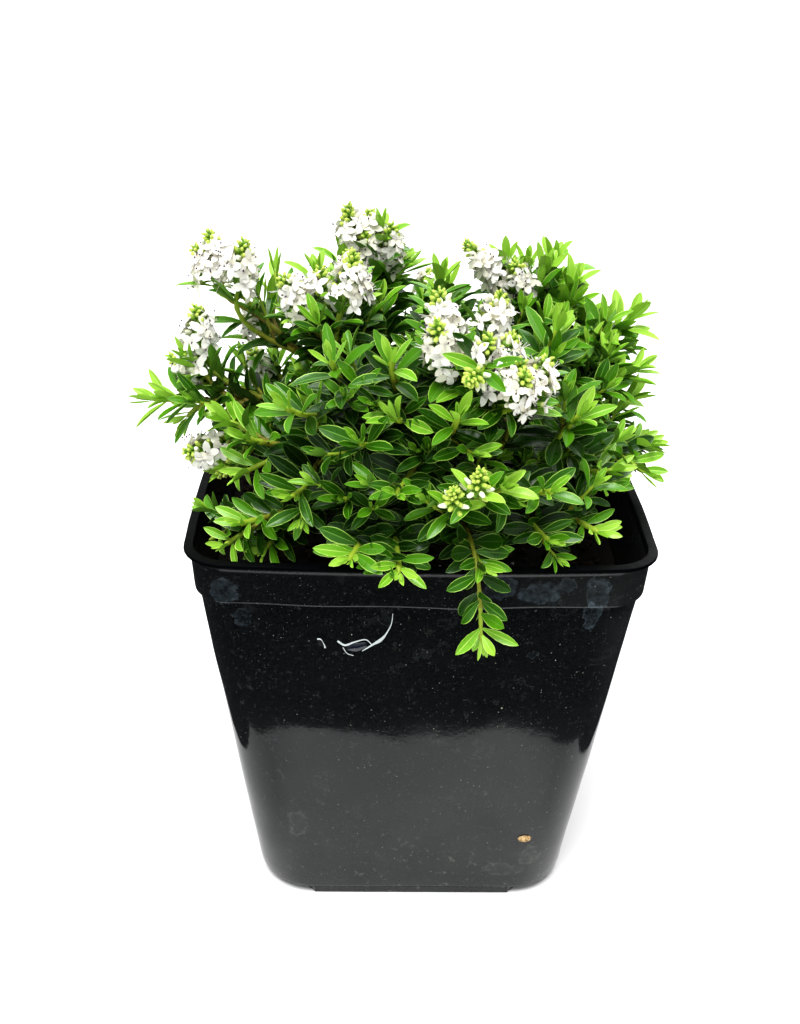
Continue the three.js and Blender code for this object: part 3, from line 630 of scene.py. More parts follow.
def add_leaf(heap, chance, shoot, share, roll, opened, length, blade, rounded=0.0, slim=1.0):
    """A leaf at a share of its shoot, rolled round it and opened from it, if it clears the pot."""
    point, along, side, over = shoot.frame(share)
    level = 1 - abs(along[2])
    out = unit(around(side, over * (1 - 0.8 * level), roll))
    run = unit(along * math.cos(opened) + out * math.sin(opened) + np.array([0, 0, 0.08 + 0.14 * level]))
    face = along * math.sin(opened) - out * math.cos(opened)
    afar = lit_afar(point)
    light = unit(0.5 * (1 - afar) * unit(point - CROWN_CENTRE) + np.array([0, -0.1 - 0.8 * afar, 1]))
    face = face + light * (chance.uniform(0.3, 0.8) + 0.5 * level + 0.7 * afar + 1.4 * max(0.0, -along[2]))
    width = slim * length * chance.uniform(*BREADTH) * (1 + 0.42 * rounded)
    fold = math.radians(chance.uniform(*FOLD) * (1 - 0.6 * rounded))
    curl = chance.uniform(0.0, 0.6) if opened > 0.75 else chance.uniform(-0.35, 0.3)
    if shoot.hanging:
        curl = chance.uniform(-1.0, 0.1)
    twist = chance.uniform(-0.3, 0.3)
    leaf = Leaf(point + out * 0.5, run, face, length, width, fold, curl, blade, rounded, twist)
    if clear_of_pot(np.vstack(leaf.places())):
        leaf.add_to(heap)


def dress(heap, chance, shoot, bare, vigour, gap, slim):
    """Leaf pairs along a shoot, each square to the last, closing and shortening to a rosette."""
    blooming = shoot.end != "leaf"
    vigour = vigour * lerp(0.88, 1.06, clamp01((shoot.tip[2] - 162) / 48))
    last = LAST_UNDER_SPIKE if blooming else LAST_PAIR
    roll = 0.35 if shoot.hanging else math.pi / 4 + chance.uniform(-0.35, 0.35)
    low = shoot.tip[2] < 188 and shoot.tip[1] < 0
    at, pair = last * shoot.length, 0
    while at > bare * shoot.length:
        share = at / shoot.length
        age = pair + (AGE_UNDER_SPIKE if blooming else 0.0)
        opened = math.radians(min(OPEN_MOST, OPEN_FIRST + OPEN_STEP * age) + chance.uniform(-9, 9))
        length = vigour * (LENGTH_FIRST + LENGTH_STEP * min(age, GROWN_AGE)) * chance.uniform(0.82, 1.12)
        rounded = clamp01((age - 3) / 5) * (1.0 if low else 0.4) * chance.uniform(0.6, 1.0)
        # Leaves high on the crown's far side get a lighter blade colour: painted light
        light = FAR_PAINTED_LIGHT * lit_afar(shoot.point(share))
        for turned in (0, math.pi):
            wobble = chance.uniform(-0.25, 0.25) * (2.4 if shoot.hanging else 1.0)
            blade = blade_of(chance, age, shoot.young + light)
            add_leaf(heap, chance, shoot, share, roll + turned + wobble, opened, length, blade, rounded, slim)
        roll += math.pi / 2
        uneven = chance.uniform(0.6, 1.5) if shoot.hanging else 1.0
        at -= min(GAP_MOST, GAP_FIRST + GAP_STEP * age) * vigour * gap * uneven
        pair += 1
    if not blooming:
        add_tip_bud(heap, chance, shoot, vigour)


def add_tip_bud(heap, chance, shoot, vigour):
    """The two youngest leaves, still nearly closed."""
    for turned in (0.4, 0.4 + math.pi):
        add_leaf(heap, chance, shoot, 0.995, turned, math.radians(8), 5.0 * vigour, BLADES - 1)


def add_stem(shoot, start, root_radius, tip_radius, sides, green=0.0):
    """A stem with a swollen ring at each pair of leaves, browner towards its foot."""
    rows = max(4, int((1 - start) * shoot.length / STEM_ROW))
    rings = []
    for i in range(rows + 1):
        share = lerp(start, 1.0, i / rows)
        point, _, side, over = shoot.frame(share)
        radius = lerp(root_radius, tip_radius, i / rows) * (STEM_BULGE if i % 3 == 0 else 1.0)
        rings.append((point + radius * circle(side, over, sides))[::-1])
    rings[-1] = rings[-1].mean(axis=0) + 0.25 * (rings[-1] - rings[-1].mean(axis=0))
    shares = (np.arange(rows) + 0.5) / rows
    tints = np.clip(np.round(shares * 3.2 + green - 0.2), 0, len(TWIG_SET) - 1).astype(int)
    add_rings(twig_heap, rings, tints)


# ------------------------------------------------------------------ flowers


def petal_places(length, width, cup):
    """A pointed oval petal from the origin along +X, its face up +Z."""
    stations = np.array([0.0, 0.28, 0.55, 0.8, 1.0])
    half = np.array([0.4, 0.86, 1.0, 0.74, 0.1]) * width / 2
    drop = cup * stations ** 2 * length
    rows = []
    for s, h, d in zip(stations, half, drop):
        rows += [(s * length, -h, -d + 0.12 * h), (s * length, 0, -d), (s * length, h, -d + 0.12 * h)]
    return np.array(rows)


PETAL_FACES = [f[::-1] for f in grid_faces(5, 3, False)]
PETAL_LENGTH, PETAL_WIDTH, PETAL_CUP, PETAL_THICK = (4.0, 4.8), (2.4, 3.1), (-0.1, 0.35), 0.16
TUBE, STAMEN = 2.2, (2.6, 4.4)
AXIS_R, AXIS_PARTS = (0.75, 0.35), 5
STALK, LEAN, STALK_R = (3.0, 0.7), (0.15, 1.0), (0.3, 0.34)
# How many florets and buds a spike of the usual length has, and how many more however short it is
FLORETS, USUAL_SPIKE, MORE, MORE_IN_BUD = 36, 22, 6, 14
BUD_SIZE = (3.7, 1.7)


def ball(rows=4, sides=6):
    """A unit ball as rings, from -Z to +Z."""
    places = [(0, 0, -1)]
    for r in range(1, rows):
        a = math.pi * r / rows
        for s in range(sides):
            b = TURN * s / sides
            places.append((math.sin(a) * math.cos(b), math.sin(a) * math.sin(b), -math.cos(a)))
    places.append((0, 0, 1))
    faces, top = [], len(places) - 1
    for s in range(sides):
        t = (s + 1) % sides
        faces.append((0, 1 + t, 1 + s, 1 + s))
        for r in range(rows - 2):
            a, b = 1 + r * sides, 1 + (r + 1) * sides
            faces.append((a + s, a + t, b + t, b + s))
        c = 1 + (rows - 2) * sides
        faces.append((c + s, c + t, top, top))
    return np.array(places), [f[:3] for f in faces if f[2] == f[3]], [f for f in faces if f[2] != f[3]]


BALL_PLACES, BALL_TRIS, BALL_QUADS = ball()


def add_ball(heap, centre, axis, length, width, kind):
    axis = unit(axis)
    side, over = square_to(axis, [0.3, 0.2, 1.0])
    places = centre + BALL_PLACES @ np.array([side * width / 2, over * width / 2, axis * length / 2])
    heap.add(places, BALL_TRIS, kind)
    heap.add(places, BALL_QUADS, kind)


def add_rod(heap, a, b, radius_a, radius_b, kind, sides=4):
    ring = circle(*square_to(unit(b - a), [0.31, 0.17, 1.0]), sides)
    add_rings(heap, [a + radius_a * ring, b + radius_b * ring], kind)


def petal_sides(chance, mouth, ahead, out, size):
    """Both sides of a lobe that runs ahead from the mouth and looks outwards."""
    up = unit(out - ahead * out.dot(ahead))
    across = np.cross(up, ahead)
    length, width = chance.uniform(*PETAL_LENGTH) * size, chance.uniform(*PETAL_WIDTH) * size
    shape = petal_places(length, width, chance.uniform(*PETAL_CUP))
    turn = np.array([ahead, across, up])
    return mouth + shape @ turn, mouth + (shape - [0, 0, PETAL_THICK]) @ turn


def add_floret(chance, foot, out, size, faded):
    """Calyx, short tube, four spreading pointed lobes and two long stamens."""
    out = unit(out)
    side, over = square_to(out, [chance.uniform(-1, 1), chance.uniform(-1, 1), 1.0])
    mouth = foot + out * TUBE * size
    add_rod(bloom_heap, foot, foot + out * 1.4 * size, 0.75 * size, 0.95 * size, CALYX, 5)
    add_rod(bloom_heap, foot + out * 0.8 * size, mouth, 0.7 * size, 1.0 * size, THROAT, 5)
    spin = chance.uniform(0, TURN)
    spread = chance.uniform(0.1, 0.5)
    for k in range(4):
        away = around(side, over, spin + k * math.pi / 2 + chance.uniform(-0.12, 0.12))
        ahead = unit(away * math.cos(spread) + out * math.sin(spread))
        top, underside = petal_sides(chance, mouth, ahead, out, size)
        # Faded florets and one lobe in five at random take the darker petal colour; every lobe's underside
        # takes it as painted shade
        kind = PETAL_SHADE if faded or chance.random() < 0.2 else PETAL
        bloom_heap.add(top, PETAL_FACES, kind)
        bloom_heap.add(underside, [f[::-1] for f in PETAL_FACES], PETAL_SHADE)
    for turn in (-1, 1):
        way = unit(out + around(side, over, spin + turn * 0.6) * chance.uniform(0.3, 0.6))
        end = mouth + way * chance.uniform(*STAMEN) * size
        add_rod(bloom_heap, mouth, end, 0.17, 0.13, FILAMENT, 3)
        if chance.random() < 0.45:
            add_ball(bloom_heap, end, np.cross(way, side), 0.95, 0.55, ANTHER)


def add_bud(chance, foot, out, late):
    """A bud that is the smaller and greener the later it opens, in its calyx."""
    size = lerp(*BUD_SIZE, late)
    kind = BUD_WHITE if late < 0.34 and chance.random() < 0.6 else BUD_LIME
    longer = 1.45 if kind == BUD_WHITE else 1.0
    add_ball(bloom_heap, foot + out * size * 0.4, out, size * longer, size * 0.58, kind)
    add_ball(bloom_heap, foot + out * size * 0.1, out, size * 0.6, size * 0.66, CALYX)


def add_raceme(chance, tip, along, length, wide, opened):
    """Open florets round the lower stretch, white buds over them and lime ones at the tip."""
    along = unit(along)
    bend = unit(along + np.array([chance.uniform(-0.1, 0.1), chance.uniform(-0.1, 0.1), 0.12]))
    side, over = square_to(along, [0.2, 0.1, 1.0])
    start = tip - along * 2.0

    def axis(t):
        return start + length * t * unit(along * (1 - t) + bend * t)

    for k in range(AXIS_PARTS):
        low, high = k / AXIS_PARTS, (k + 1) / AXIS_PARTS
        add_rod(bloom_heap, axis(low), axis(high), lerp(*AXIS_R, low), lerp(*AXIS_R, high), CALYX, 5)
    count = int(FLORETS * length / USUAL_SPIKE) + (MORE if opened else MORE_IN_BUD)
    for i in range(count):
        t = 0.1 + 0.9 * ((i + 0.5) / count) ** 0.86
        away = around(side, over, i * GOLDEN + chance.uniform(-0.3, 0.3))
        out = unit(away + along * lerp(*LEAN, t))
        foot = axis(t) + out * wide * lerp(*STALK, t)
        add_rod(bloom_heap, axis(t), foot, *STALK_R, CALYX)
        if t >= opened:
            add_bud(chance, foot, out, (t - opened) / (1 - opened))
        elif i % 4 != 3 or t < 0.2:
            add_floret(chance, foot, out, chance.uniform(0.85, 1.08), chance.random() < 0.2)
        else:
            add_ball(bloom_heap, foot + out * 1.4, out, 3.2, 1.9, BUD_LIME if i % 8 == 7 else BUD_WHITE)


# ------------------------------------------------------------------ the whole shrub


def heap_of(tip):
    azimuth = math.degrees(math.atan2(tip[1], tip[0])) % 360
    return next((key for key, end in GROUP_ENDS.items() if azimuth < end), "right")


def in_crown(tip, grow):
    return bool(np.sum(((tip - CROWN_CENTRE) / (CROWN_REACH * grow)) ** 2) < 1.0)


def side_twigs(chance, shoot, first, count, room):
    """Short leafy twigs that leave a shoot by turns all round, and stay inside the crown."""
    made = []
    turn = chance.uniform(0, TURN)
    for i in range(count):
        share = lerp(first, 0.86, (i + chance.uniform(0.2, 0.8)) / count)
        point, along, side, over = shoot.frame(share)
        turn += GOLDEN
        for attempt in range(5):
            out = around(side, over, turn + attempt * 1.3)
            way = unit(along + out * chance.uniform(0.7, 1.1) + np.array([0, 0, 0.35]))
            length = chance.uniform(0.7, 1.1) * room * lerp(1.1, 0.7, share)
            tip = point + way * length
            low = tip[2] < SOIL_LEVEL + 12
            if in_crown(tip, 0.97) and not low and clear_of_pot(tip[None], 3.0):
                azimuth = math.degrees(math.atan2(tip[1], tip[0]))
                rise = math.degrees(math.asin(way[2])) + chance.uniform(0, 14)
                towards = math.degrees(math.atan2(way[1], way[0]))
                young = shoot.young * 0.4 + chance.uniform(-1.7, -0.2)
                made.append(Shoot(point, unit(along + out * 0.8), azimuth, math.hypot(tip[0], tip[1]),
                                  tip[2], towards, min(rise, 80), young))
                break
    return made


def add_spike(chance, name, which, shoot):
    """The raceme at the tip of a limb's shoot, the way the twig heads or as STANDING says."""
    length, wide, opened = SPIKE[shoot.end]
    way = shoot.frame(1.0)[1]
    if (name, which) in STANDING:
        azimuth, rise, length = STANDING[name, which]
        way = heading(azimuth, rise)
    add_raceme(chance, shoot.tip, way, length, wide, opened)


def grow_limb(index, name, ends):
    """One limb with its side shoots, spikes, short twigs and leaves; its main shoot."""
    chance = random.Random(SEED + index)
    main = Shoot(*grown_root(name, ends[0]), *ends[0])
    sides = [(BRANCH_FIRST + i * BRANCH_STEP, *end) for i, end in enumerate(ends[1:])] + FINER.get(name, [])
    sides = [Shoot(*main.frame(share)[:2], *end) for share, *end in sides]
    heap = leaf_heaps[heap_of(main.tip)]
    thin = TRAILING_THIN if main.hanging else 1.0
    add_stem(main, BOUGH_SHARE - 0.02, MAIN_R[0] * thin, MAIN_R[1] * thin, 7)
    for side in sides:
        add_stem(side, 0.0, *SIDE_R, 6, 0.6)
    vigour, gap, slim = VIGOUR.get(name, 1.0), GAP.get(name, 1.0), SLIM.get(name, 1.0)
    for shoot in [main] + sides:
        dress(heap, chance, shoot, BOUGH_SHARE + 0.04 if shoot is main else 0.14, vigour, gap, slim)
    for i, shoot in enumerate([main] + sides):
        if shoot.end in SPIKE:
            add_spike(chance, name, i, shoot)
    twigs = side_twigs(chance, main, BOUGH_SHARE + 0.08, FULLER.get(name, USUAL_TWIGS), TWIG_ROOM)
    for side in sides[: len(ends) - 1]:
        twigs += side_twigs(chance, side, 0.25, SIDE_TWIGS, SIDE_TWIG_ROOM)
    for twig in twigs:
        add_stem(twig, 0.0, *TWIG_R, 5, 1.0)
        dress(heap, chance, twig, 0.12, 0.9 * vigour, gap, slim)
    return main


mains = {name: grow_limb(i, name, ends) for i, (name, ends) in enumerate(LIMBS.items())}
for key, heap in leaf_heaps.items():
    leaves = heap.make("leaves_" + key, LEAF_SET, creased=UNDERSIDES)
    borne = ["foliage_" + name for name, main in mains.items() if heap_of(main.tip) == key]
    hand_over(leaves, "foliage", *borne)

hand_over(twig_heap.make("twigs", TWIG_SET), "green_wood")
hand_over(bloom_heap.make("blossom", BLOOM_SET), "foliage")

# ------------------------------------------------------------------ trunk and boughs with bark

TRUNK_TURN = np.linspace(0, TURN, 28, endpoint=False)
TRUNK_ROWS, BOUGH_ROWS = 30, 14
SUNK_ROWS, SUNK_SHARE = (-9.0, -4.0), 0.86
DOME = 3.0
BOUGH_ROOT_R, BOUGH_TIP_R, KNOT = 1.3, 1.12, 1.12

BARK = skin("bark", (92, 72, 48), 0.8, 0.25, (420.0, 5.0, 0.65, (1.0, 1.0, 0.22)), (0.0006, 0.9),
            rough=((0.3, 0.9), (0.7, 0.65)),
            colours=((0.28, (58, 44, 30)), (0.52, (104, 84, 56)), (0.75, (140, 120, 84))))


def ridge(angle, along, amount, ridges):
    """How far the bark stands out at an angle round a limb and a place along it."""
    return amount * noise.noise(Vector((ridges * math.cos(angle), ridges * math.sin(angle), along)))


def trunk_rings():
    rings = []
    for over in [*SUNK_ROWS, *np.linspace(0, TRUNK_HEIGHT, TRUNK_ROWS)]:
        z = TRUNK_FOOT + over
        radius = trunk_radius(max(z, TRUNK_FOOT)) * (SUNK_SHARE if over < 0 else 1.0)
        if over > TRUNK_HEIGHT - DOME:
            radius *= math.sqrt(max(0.05, 1 - ((over - TRUNK_HEIGHT + DOME) / 3.2) ** 2))
        relief = [1 + ridge(a, z * 0.1, 0.07, 2.2) + ridge(a, z * 0.25, 0.05, 6) for a in TRUNK_TURN]
        x, y = np.cos(TRUNK_TURN), np.sin(TRUNK_TURN)
        r = radius * np.array(relief)
        rings.append(np.stack([r * x, r * y, np.full(len(r), z)], axis=1))
    return rings


def bough_rings(main, seed):
    """A bough from inside the trunk to its foliage, with a swollen ring at each old pair of leaves."""
    point, along, side, over = main.frame(0.0)
    rings = []
    for i in range(-2, BOUGH_ROWS + 1):
        if i < 0:
            centre = point + along * i * 1.6
        else:
            centre, _, side, over = main.frame(BOUGH_SHARE * i / BOUGH_ROWS)
        base = lerp(BOUGH_ROOT_R, BOUGH_TIP_R, max(0, i) / BOUGH_ROWS) * (KNOT if i % 3 == 0 else 1.0)
        ring = [centre + base * (1 + ridge(a, i * 0.7 + seed, 0.1, 3)) * around(side, over, a)
                for a in TRUNK_TURN[::3]]
        rings.append(np.array(ring)[::-1])
    return rings


wood_heap = Heap()
add_rings(wood_heap, trunk_rings(), 0)
for name, main in mains.items():
    add_rings(wood_heap, bough_rings(main, len(name)), 0)

hand_over(wood_heap.make("wood", [BARK]), "bark", "trunk", *["bough_" + name for name in LIMBS])

# ------------------------------------------------------------------ the pot

LEFT_RIGHT_BOW = 0.45
# How far the lip stands out over the band at heights over the band's top
LIP_PROFILE = [(0.0, -1.0), (1.5, 0.5), (1.9, 0.9), (2.0, 1.1), (2.0, LIP_THICK - 0.35),
               (1.9, LIP_THICK - 0.1), (1.6, LIP_THICK)]
SHARP_EDGE = math.radians(38)
CUTTER_HALF = 6.0
BLACK = linear(4, 6, 9)
SHADED_HEIGHT = 0.16
DENTS, FINE_DENTS, SWAY = 0.42, 0.12, 0.7


def square_ring(half, corner, bow, z):
    """A square with round corners, its front and back bowed in full and its left and right less."""
    points = []
    straight = half - corner
    for c, s in ((1, 0), (0, 1), (-1, 0), (0, -1)):
        swell = bow * (LEFT_RIGHT_BOW if c else 1.0)
        local = []
        for i in range(SIDE_STEPS):
            t = 2 * i / SIDE_STEPS - 1
            local.append((half + swell * (1 - t * t), straight * t))
        for i in range(CORNER_STEPS):
            a = i / CORNER_STEPS * math.pi / 2
            local.append((straight + corner * math.cos(a), straight + corner * math.sin(a)))
        points += [(x * c - y * s, x * s + y * c, z) for x, y in local]
    return np.array(points)


def wall_ring(z, inset=0.0):
    half, corner, bow = wall_at(z)
    return square_ring(half - inset, corner - inset, bow, z)


def hollow_ring(z):
    """The wall's inner side at a height, which widens into the band."""
    if z <= BAND_FOOT:
        return wall_ring(z, WALL)
    half, corner, bow = wall_at(z)
    share = (z - BAND_FOOT) / (POT_HEIGHT - BAND_FOOT)
    return square_ring(lerp(half, BAND_HALF, share) - WALL, lerp(corner, BAND_CORNER, share) - WALL, bow, z)


def rippled(ring):
    """The thin wall isn't quite true: slow dents, the same inside and out."""
    out = []
    for x, y, z in ring:
        v = Vector((x / 38, y / 38, z / 46))
        dent = DENTS * noise.noise(v) + FINE_DENTS * noise.noise(v * 3.1)
        r = math.hypot(x, y)
        fade = clamp01(z / 12)
        near_band = clamp01((z - 90) / 30) * clamp01((152 - z) / 8)
        sway = SWAY * noise.noise(v * 1.4 + Vector((5.0, 3.0, 0.0))) * near_band
        out.append((x * (1 + fade * dent / r), y * (1 + fade * dent / r), z + sway))
    return np.array(out)


def pot_rings():
    """The pot's skin from under its floor, up the outside, over the lip and down the inside."""
    rings = [square_ring(BODY_LOW_HALF - EDGE, CORNER_LOW - EDGE, 0, FOOT_HEIGHT)]
    for a in np.linspace(0, math.pi / 2, 5)[1:]:
        inset, rise = EDGE * (1 - math.sin(a)), EDGE * (1 - math.cos(a))
        rings.append(square_ring(BODY_LOW_HALF - inset, CORNER_LOW - inset, 0, FOOT_HEIGHT + rise))
    rings += [wall_ring(z) for z in np.linspace(FOOT_HEIGHT + EDGE + 2, BAND_FOOT - 0.5, 34)]
    half, corner, bow = wall_at(BAND_FOOT)
    rings.append(square_ring(half + 0.15, corner, bow, BAND_FOOT - 0.1))
    low = BAND_HALF - BAND_TAPER
    rings.append(square_ring(low - 0.3, BAND_CORNER - 0.3, SIDE_BOW, BAND_FOOT))
    rings.append(square_ring(low, BAND_CORNER, SIDE_BOW, BAND_FOOT + 0.35))
    band_top = POT_HEIGHT - LIP_THICK
    for z in np.linspace(BAND_FOOT + 1.5, band_top - 1.9, 6):
        share = (z - BAND_FOOT) / BAND_HEIGHT
        rings.append(square_ring(lerp(low, BAND_HALF, share), BAND_CORNER, SIDE_BOW, z))
    for grow, z in LIP_PROFILE:
        rings.append(square_ring(BAND_HALF + grow, BAND_CORNER + grow / 2, SIDE_BOW, band_top + z))
    inner = BAND_HALF - WALL
    rings.append(square_ring(inner + 0.4, BAND_CORNER - WALL + 0.4, SIDE_BOW, POT_HEIGHT))
    rings.append(square_ring(inner, BAND_CORNER - WALL, SIDE_BOW, POT_HEIGHT - 0.4))
    rings += [hollow_ring(z) for z in np.linspace(POT_HEIGHT - 2, FOOT_HEIGHT + WALL + INNER_EDGE, 30)]
    rings.append(wall_ring(FOOT_HEIGHT + WALL, WALL + INNER_EDGE))
    return [rippled(r) for r in rings]


def foot_ring(half, z):
    """The foot's outline: a square with its corners cut off."""
    cut = half - FOOT_CORNER
    corners = [(half, -cut), (half, cut), (cut, half), (-cut, half)]
    corners += [(-x, -y) for x, y in corners]
    points = []
    for (ax, ay), (bx, by) in zip(corners, corners[1:] + corners[:1]):
        points += [(lerp(ax, bx, t), lerp(ay, by, t), z) for t in (0.0, 0.04, 0.5, 0.96)]
    return np.array(points)


def cut_by(obj, cutters):
    """The object with the cutters taken away, as a plain mesh."""
    for cutter in cutters:
        modifier = obj.modifiers.new("cut", "BOOLEAN")
        modifier.operation, modifier.solver, modifier.object = "DIFFERENCE", "EXACT", cutter
    bpy.context.view_layer.update()
    shaped = bpy.data.meshes.new_from_object(obj.evaluated_get(bpy.context.evaluated_depsgraph_get()))
    obj.modifiers.clear()
    obj.data = shaped
    for cutter in cutters:
        bpy.data.objects.remove(cutter)


def drain_cutters():
    """A box for each drainage slot, at the foot's corners."""
    made = []
    corners = ((1, -1), (1, 1), (-1, 1), (-1, -1))
    reach = math.sqrt(2) * (FOOT_HALF - DRAIN)
    for azimuth in (45, 135, 225, 315):
        box = Heap()
        at, a = polar(azimuth, reach, FOOT_HEIGHT), math.radians(azimuth)
        radial, across = np.array([math.cos(a), math.sin(a), 0]), np.array([-math.sin(a), math.cos(a), 0])
        ring = np.array([at + radial * x * DRAIN_WIDTH / 2 + across * y * DRAIN / 2 for x, y in corners])
        up = np.array([0, 0, CUTTER_HALF])
        add_rings(box, [ring - up, ring + up], 0)
        made.append(box.make("cutter", [], False))
    return made


def specks(plastic, size, reach, share):
    """One where a speck is: the middles of some of the cells."""
    cells = plastic.node("TexVoronoi", {"Scale": size, "Vector": plastic.where}).outputs
    near = plastic.math("LESS_THAN", cells["Distance"], reach)
    number = plastic.node("SeparateColor", {0: cells["Color"]}).outputs[0]
    return plastic.math("MULTIPLY", near, plastic.math("LESS_THAN", number, share))


def dust_on(plastic, height):
    """How dusty the plastic is: most at the foot, on the right-hand wall and on the band's right."""
    x = plastic.axis(0)
    rightward = plastic.ramp(plastic.math("MULTIPLY_ADD", x, 5.0, 0.5), (0.45, 0.25), (0.85, 1.0))
    band = plastic.math("MULTIPLY", plastic.ramp(height, (0.875, 0.0), (0.89, 0.45)), rightward)
    side = plastic.ramp(plastic.math("MULTIPLY", x, 10.0), (0.56, 0.0), (0.7, 0.42))
    side = plastic.math("MULTIPLY", side, plastic.ramp(height, (0.84, 1.0), (0.885, 0.0)))
    foot = plastic.ramp(height, (0.12, 0.85), (0.62, 0.14), (0.98, 0.05))
    cloud = plastic.ramp(plastic.noise(34.0, 5.0, 0.62), (0.36, 0.0), (0.72, 1.0))
    most = plastic.math("MAXIMUM", plastic.math("MAXIMUM", foot, side), band)
    return plastic.math("MULTIPLY", plastic.math("MULTIPLY_ADD", cloud, 0.5, 0.5), most)


def stained(plastic, base):
    """The base colour with dried water marks: faint within, paler along their wandering edges."""
    mottle = plastic.ramp(plastic.noise(420.0, 5.0, 0.7), (0.38, 0.1), (0.66, 1.0))
    wander = plastic.noise(170.0, 6.0, 0.68, output="Color")
    shifted = plastic.vector("MULTIPLY_ADD", wander, (2 * WANDER * MM,) * 3, plastic.where)
    for x, y, z, wide, high, inside, edge in STAINS:
        away = plastic.vector("SUBTRACT", shifted, tuple((c + WANDER) * MM for c in (x, y, z)))
        scaled = plastic.vector("MULTIPLY", away, tuple(1000 / c for c in (wide, STAIN_DEPTH, high)))
        reach = plastic.vector("LENGTH", scaled, output="Value")
        patch = plastic.ramp(reach, (0.0, inside * 0.6), (0.65, inside), (0.86, edge), (1.0, 0.0))
        tone = linear(104, 120, 130) if z > 60 else linear(124, 126, 120)
        base = plastic.mix(plastic.math("MULTIPLY", patch, mottle), base, tone)
    return base


def pot_material():
    """Black plastic with dust, swirls, scuffs, water marks and specks, in gentle waves."""
    plastic = Nodes("pot_plastic", BLACK, 0.1, 0.4)
    height = plastic.math("MULTIPLY", plastic.axis(2), 1 / SHADED_HEIGHT)
    scuffed = plastic.ramp(height, (0.03, 1.0), (0.2, 0.4), (0.5, 0.22))
    scratches = plastic.ramp(plastic.noise(310.0, 6.0, 0.75), (0.59, 0.0), (0.66, 0.7))
    swirls = plastic.ramp(plastic.noise(70.0, 5.0, 0.6), (0.62, 0.0), (0.645, 0.16), (0.67, 0.0))
    grain = plastic.ramp(plastic.noise(1300.0, 2.0), (0.45, 0.0), (0.72, 0.7))
    base = plastic.mix(dust_on(plastic, height), BLACK, linear(50, 52, 51))
    base = plastic.mix(swirls, base, linear(70, 76, 78))
    base = plastic.mix(plastic.math("MULTIPLY", scratches, scuffed), base, linear(104, 106, 100))
    base = stained(plastic, plastic.mix(grain, base, linear(30, 32, 31)))
    base = plastic.mix(specks(plastic, 900.0, 0.16, 0.3), base, linear(66, 68, 65))
    base = plastic.mix(specks(plastic, 420.0, 0.1, 0.2), base, linear(104, 104, 97))
    base = plastic.mix(specks(plastic, 170.0, 0.055, 0.14), base, linear(160, 158, 146))
    plastic.colour(base)
    smear = plastic.ramp(plastic.noise(60.0, 4.0, 0.6), (0.25, 0.05), (0.55, 0.08), (0.8, 0.16))
    plastic.roughness(plastic.math("ADD", smear, plastic.ramp(height, (0.9, 0.0), (0.96, 0.2))))
    waves = plastic.bump(plastic.noise(30.0, 4.0, 0.45), 0.0012, 0.22)
    plastic.bump(plastic.noise(700.0, 4.0), 0.00006, 0.25, waves)
    return plastic.material


def build_pot():
    black = pot_material()
    lip = skin("rim_plastic", (4, 5, 7), 0.4, 0.05, (300.0,), (0.00006, 0.25), (700.0, 4.0),
               ((0.3, 0.3), (0.7, 0.5)))
    shell_heap, foot_heap = Heap(), Heap()
    add_rings(shell_heap, pot_rings(), 0)
    shell = shell_heap.make("pot_shell", [black, lip])
    cut_by(shell, drain_cutters())
    for face in shell.data.polygons:
        face.material_index = int(face.center.z > (POT_HEIGHT - LIP_THICK) * MM)
    shell.data.set_sharp_from_angle(angle=SHARP_EDGE)
    outlines = ((FOOT_BASE_HALF - 0.35, 0.0), (FOOT_BASE_HALF, 0.35), (FOOT_HALF, FOOT_HEIGHT + 0.5))
    add_rings(foot_heap, [foot_ring(half, z) for half, z in outlines], 0)
    foot = foot_heap.make("pot_foot", [black], False)
    cut_by(foot, drain_cutters())
    for piece in (shell, foot):
        hand_over(piece, "pot", "pot")


build_pot()

# ------------------------------------------------------------------ marks on the pot's front

FILM, GLOSS, CRUMB = range(3)
# Pale curved marks and a glossy patch as thin films: points (x, z) along them, then their widths at shares of
# their length
FILMS = [
    ([(-28.0, 126.9), (-25.5, 125.1), (-22.5, 126.3), (-18.6, 127.4), (-16.4, 125.4)],
     [(0, 0.7), (0.3, 0.75), (0.6, 0.45), (1, 0.3)], FILM),
    ([(-19.6, 122.6), (-16.2, 125.2), (-12.6, 128.2), (-10.0, 133.6), (-9.4, 138.4)],
     [(0, 0.25), (0.25, 0.7), (0.42, 1.3), (0.6, 0.45), (1, 0.2)], FILM),
    ([(-26.2, 124.2), (-24.8, 121.6), (-22.6, 120.6)], [(0, 0.25), (1, 0.25)], FILM),
    ([(-24.6, 123.6), (-21.5, 124.2), (-18.3, 125.2)], [(0, 1.2), (5 / 12, 3.6), (1, 2.2)], GLOSS),
    ([(-34.9, 127.6), (-33.6, 127.4), (-32.6, 125.4), (-32.2, 123.8)],
     [(0, 0.5), (1 / 6, 0.6), (0.5, 0.15), (1, 0.6)], FILM),
]
FILM_DEPTH, FILM_PROUD = 0.3, 0.1
CRUMB_X, CRUMB_Z, CRUMB_LENGTH, CRUMB_WIDTH = 42.6, 31.4, 5.4, 3.0
MARK_SET = [
    skin("pale_film", (190, 198, 198), 0.35, 0.5, (900.0,), (0.0001, 0.5)),
    skin("wet_gloss", (20, 27, 38), 0.08, 0.6, (200.0,), (0.0002, 0.4)),
    skin("tan_crumb", (176, 150, 96), 0.8, 0.2, (900.0,), (0.0003, 0.8), (1400.0,),
         colours=((0.35, (128, 100, 64)), (0.6, (206, 176, 130)))),
]


def on_front_wall(x, z, proud):
    """The place on the front wall at x and z, a little proud of it."""
    half, corner, bow = wall_at(z)
    t = x / (half - corner)
    place = rippled([(x, -(half + bow * (1 - t * t)), z)])[0]
    return np.array(place) - [0, proud, 0]


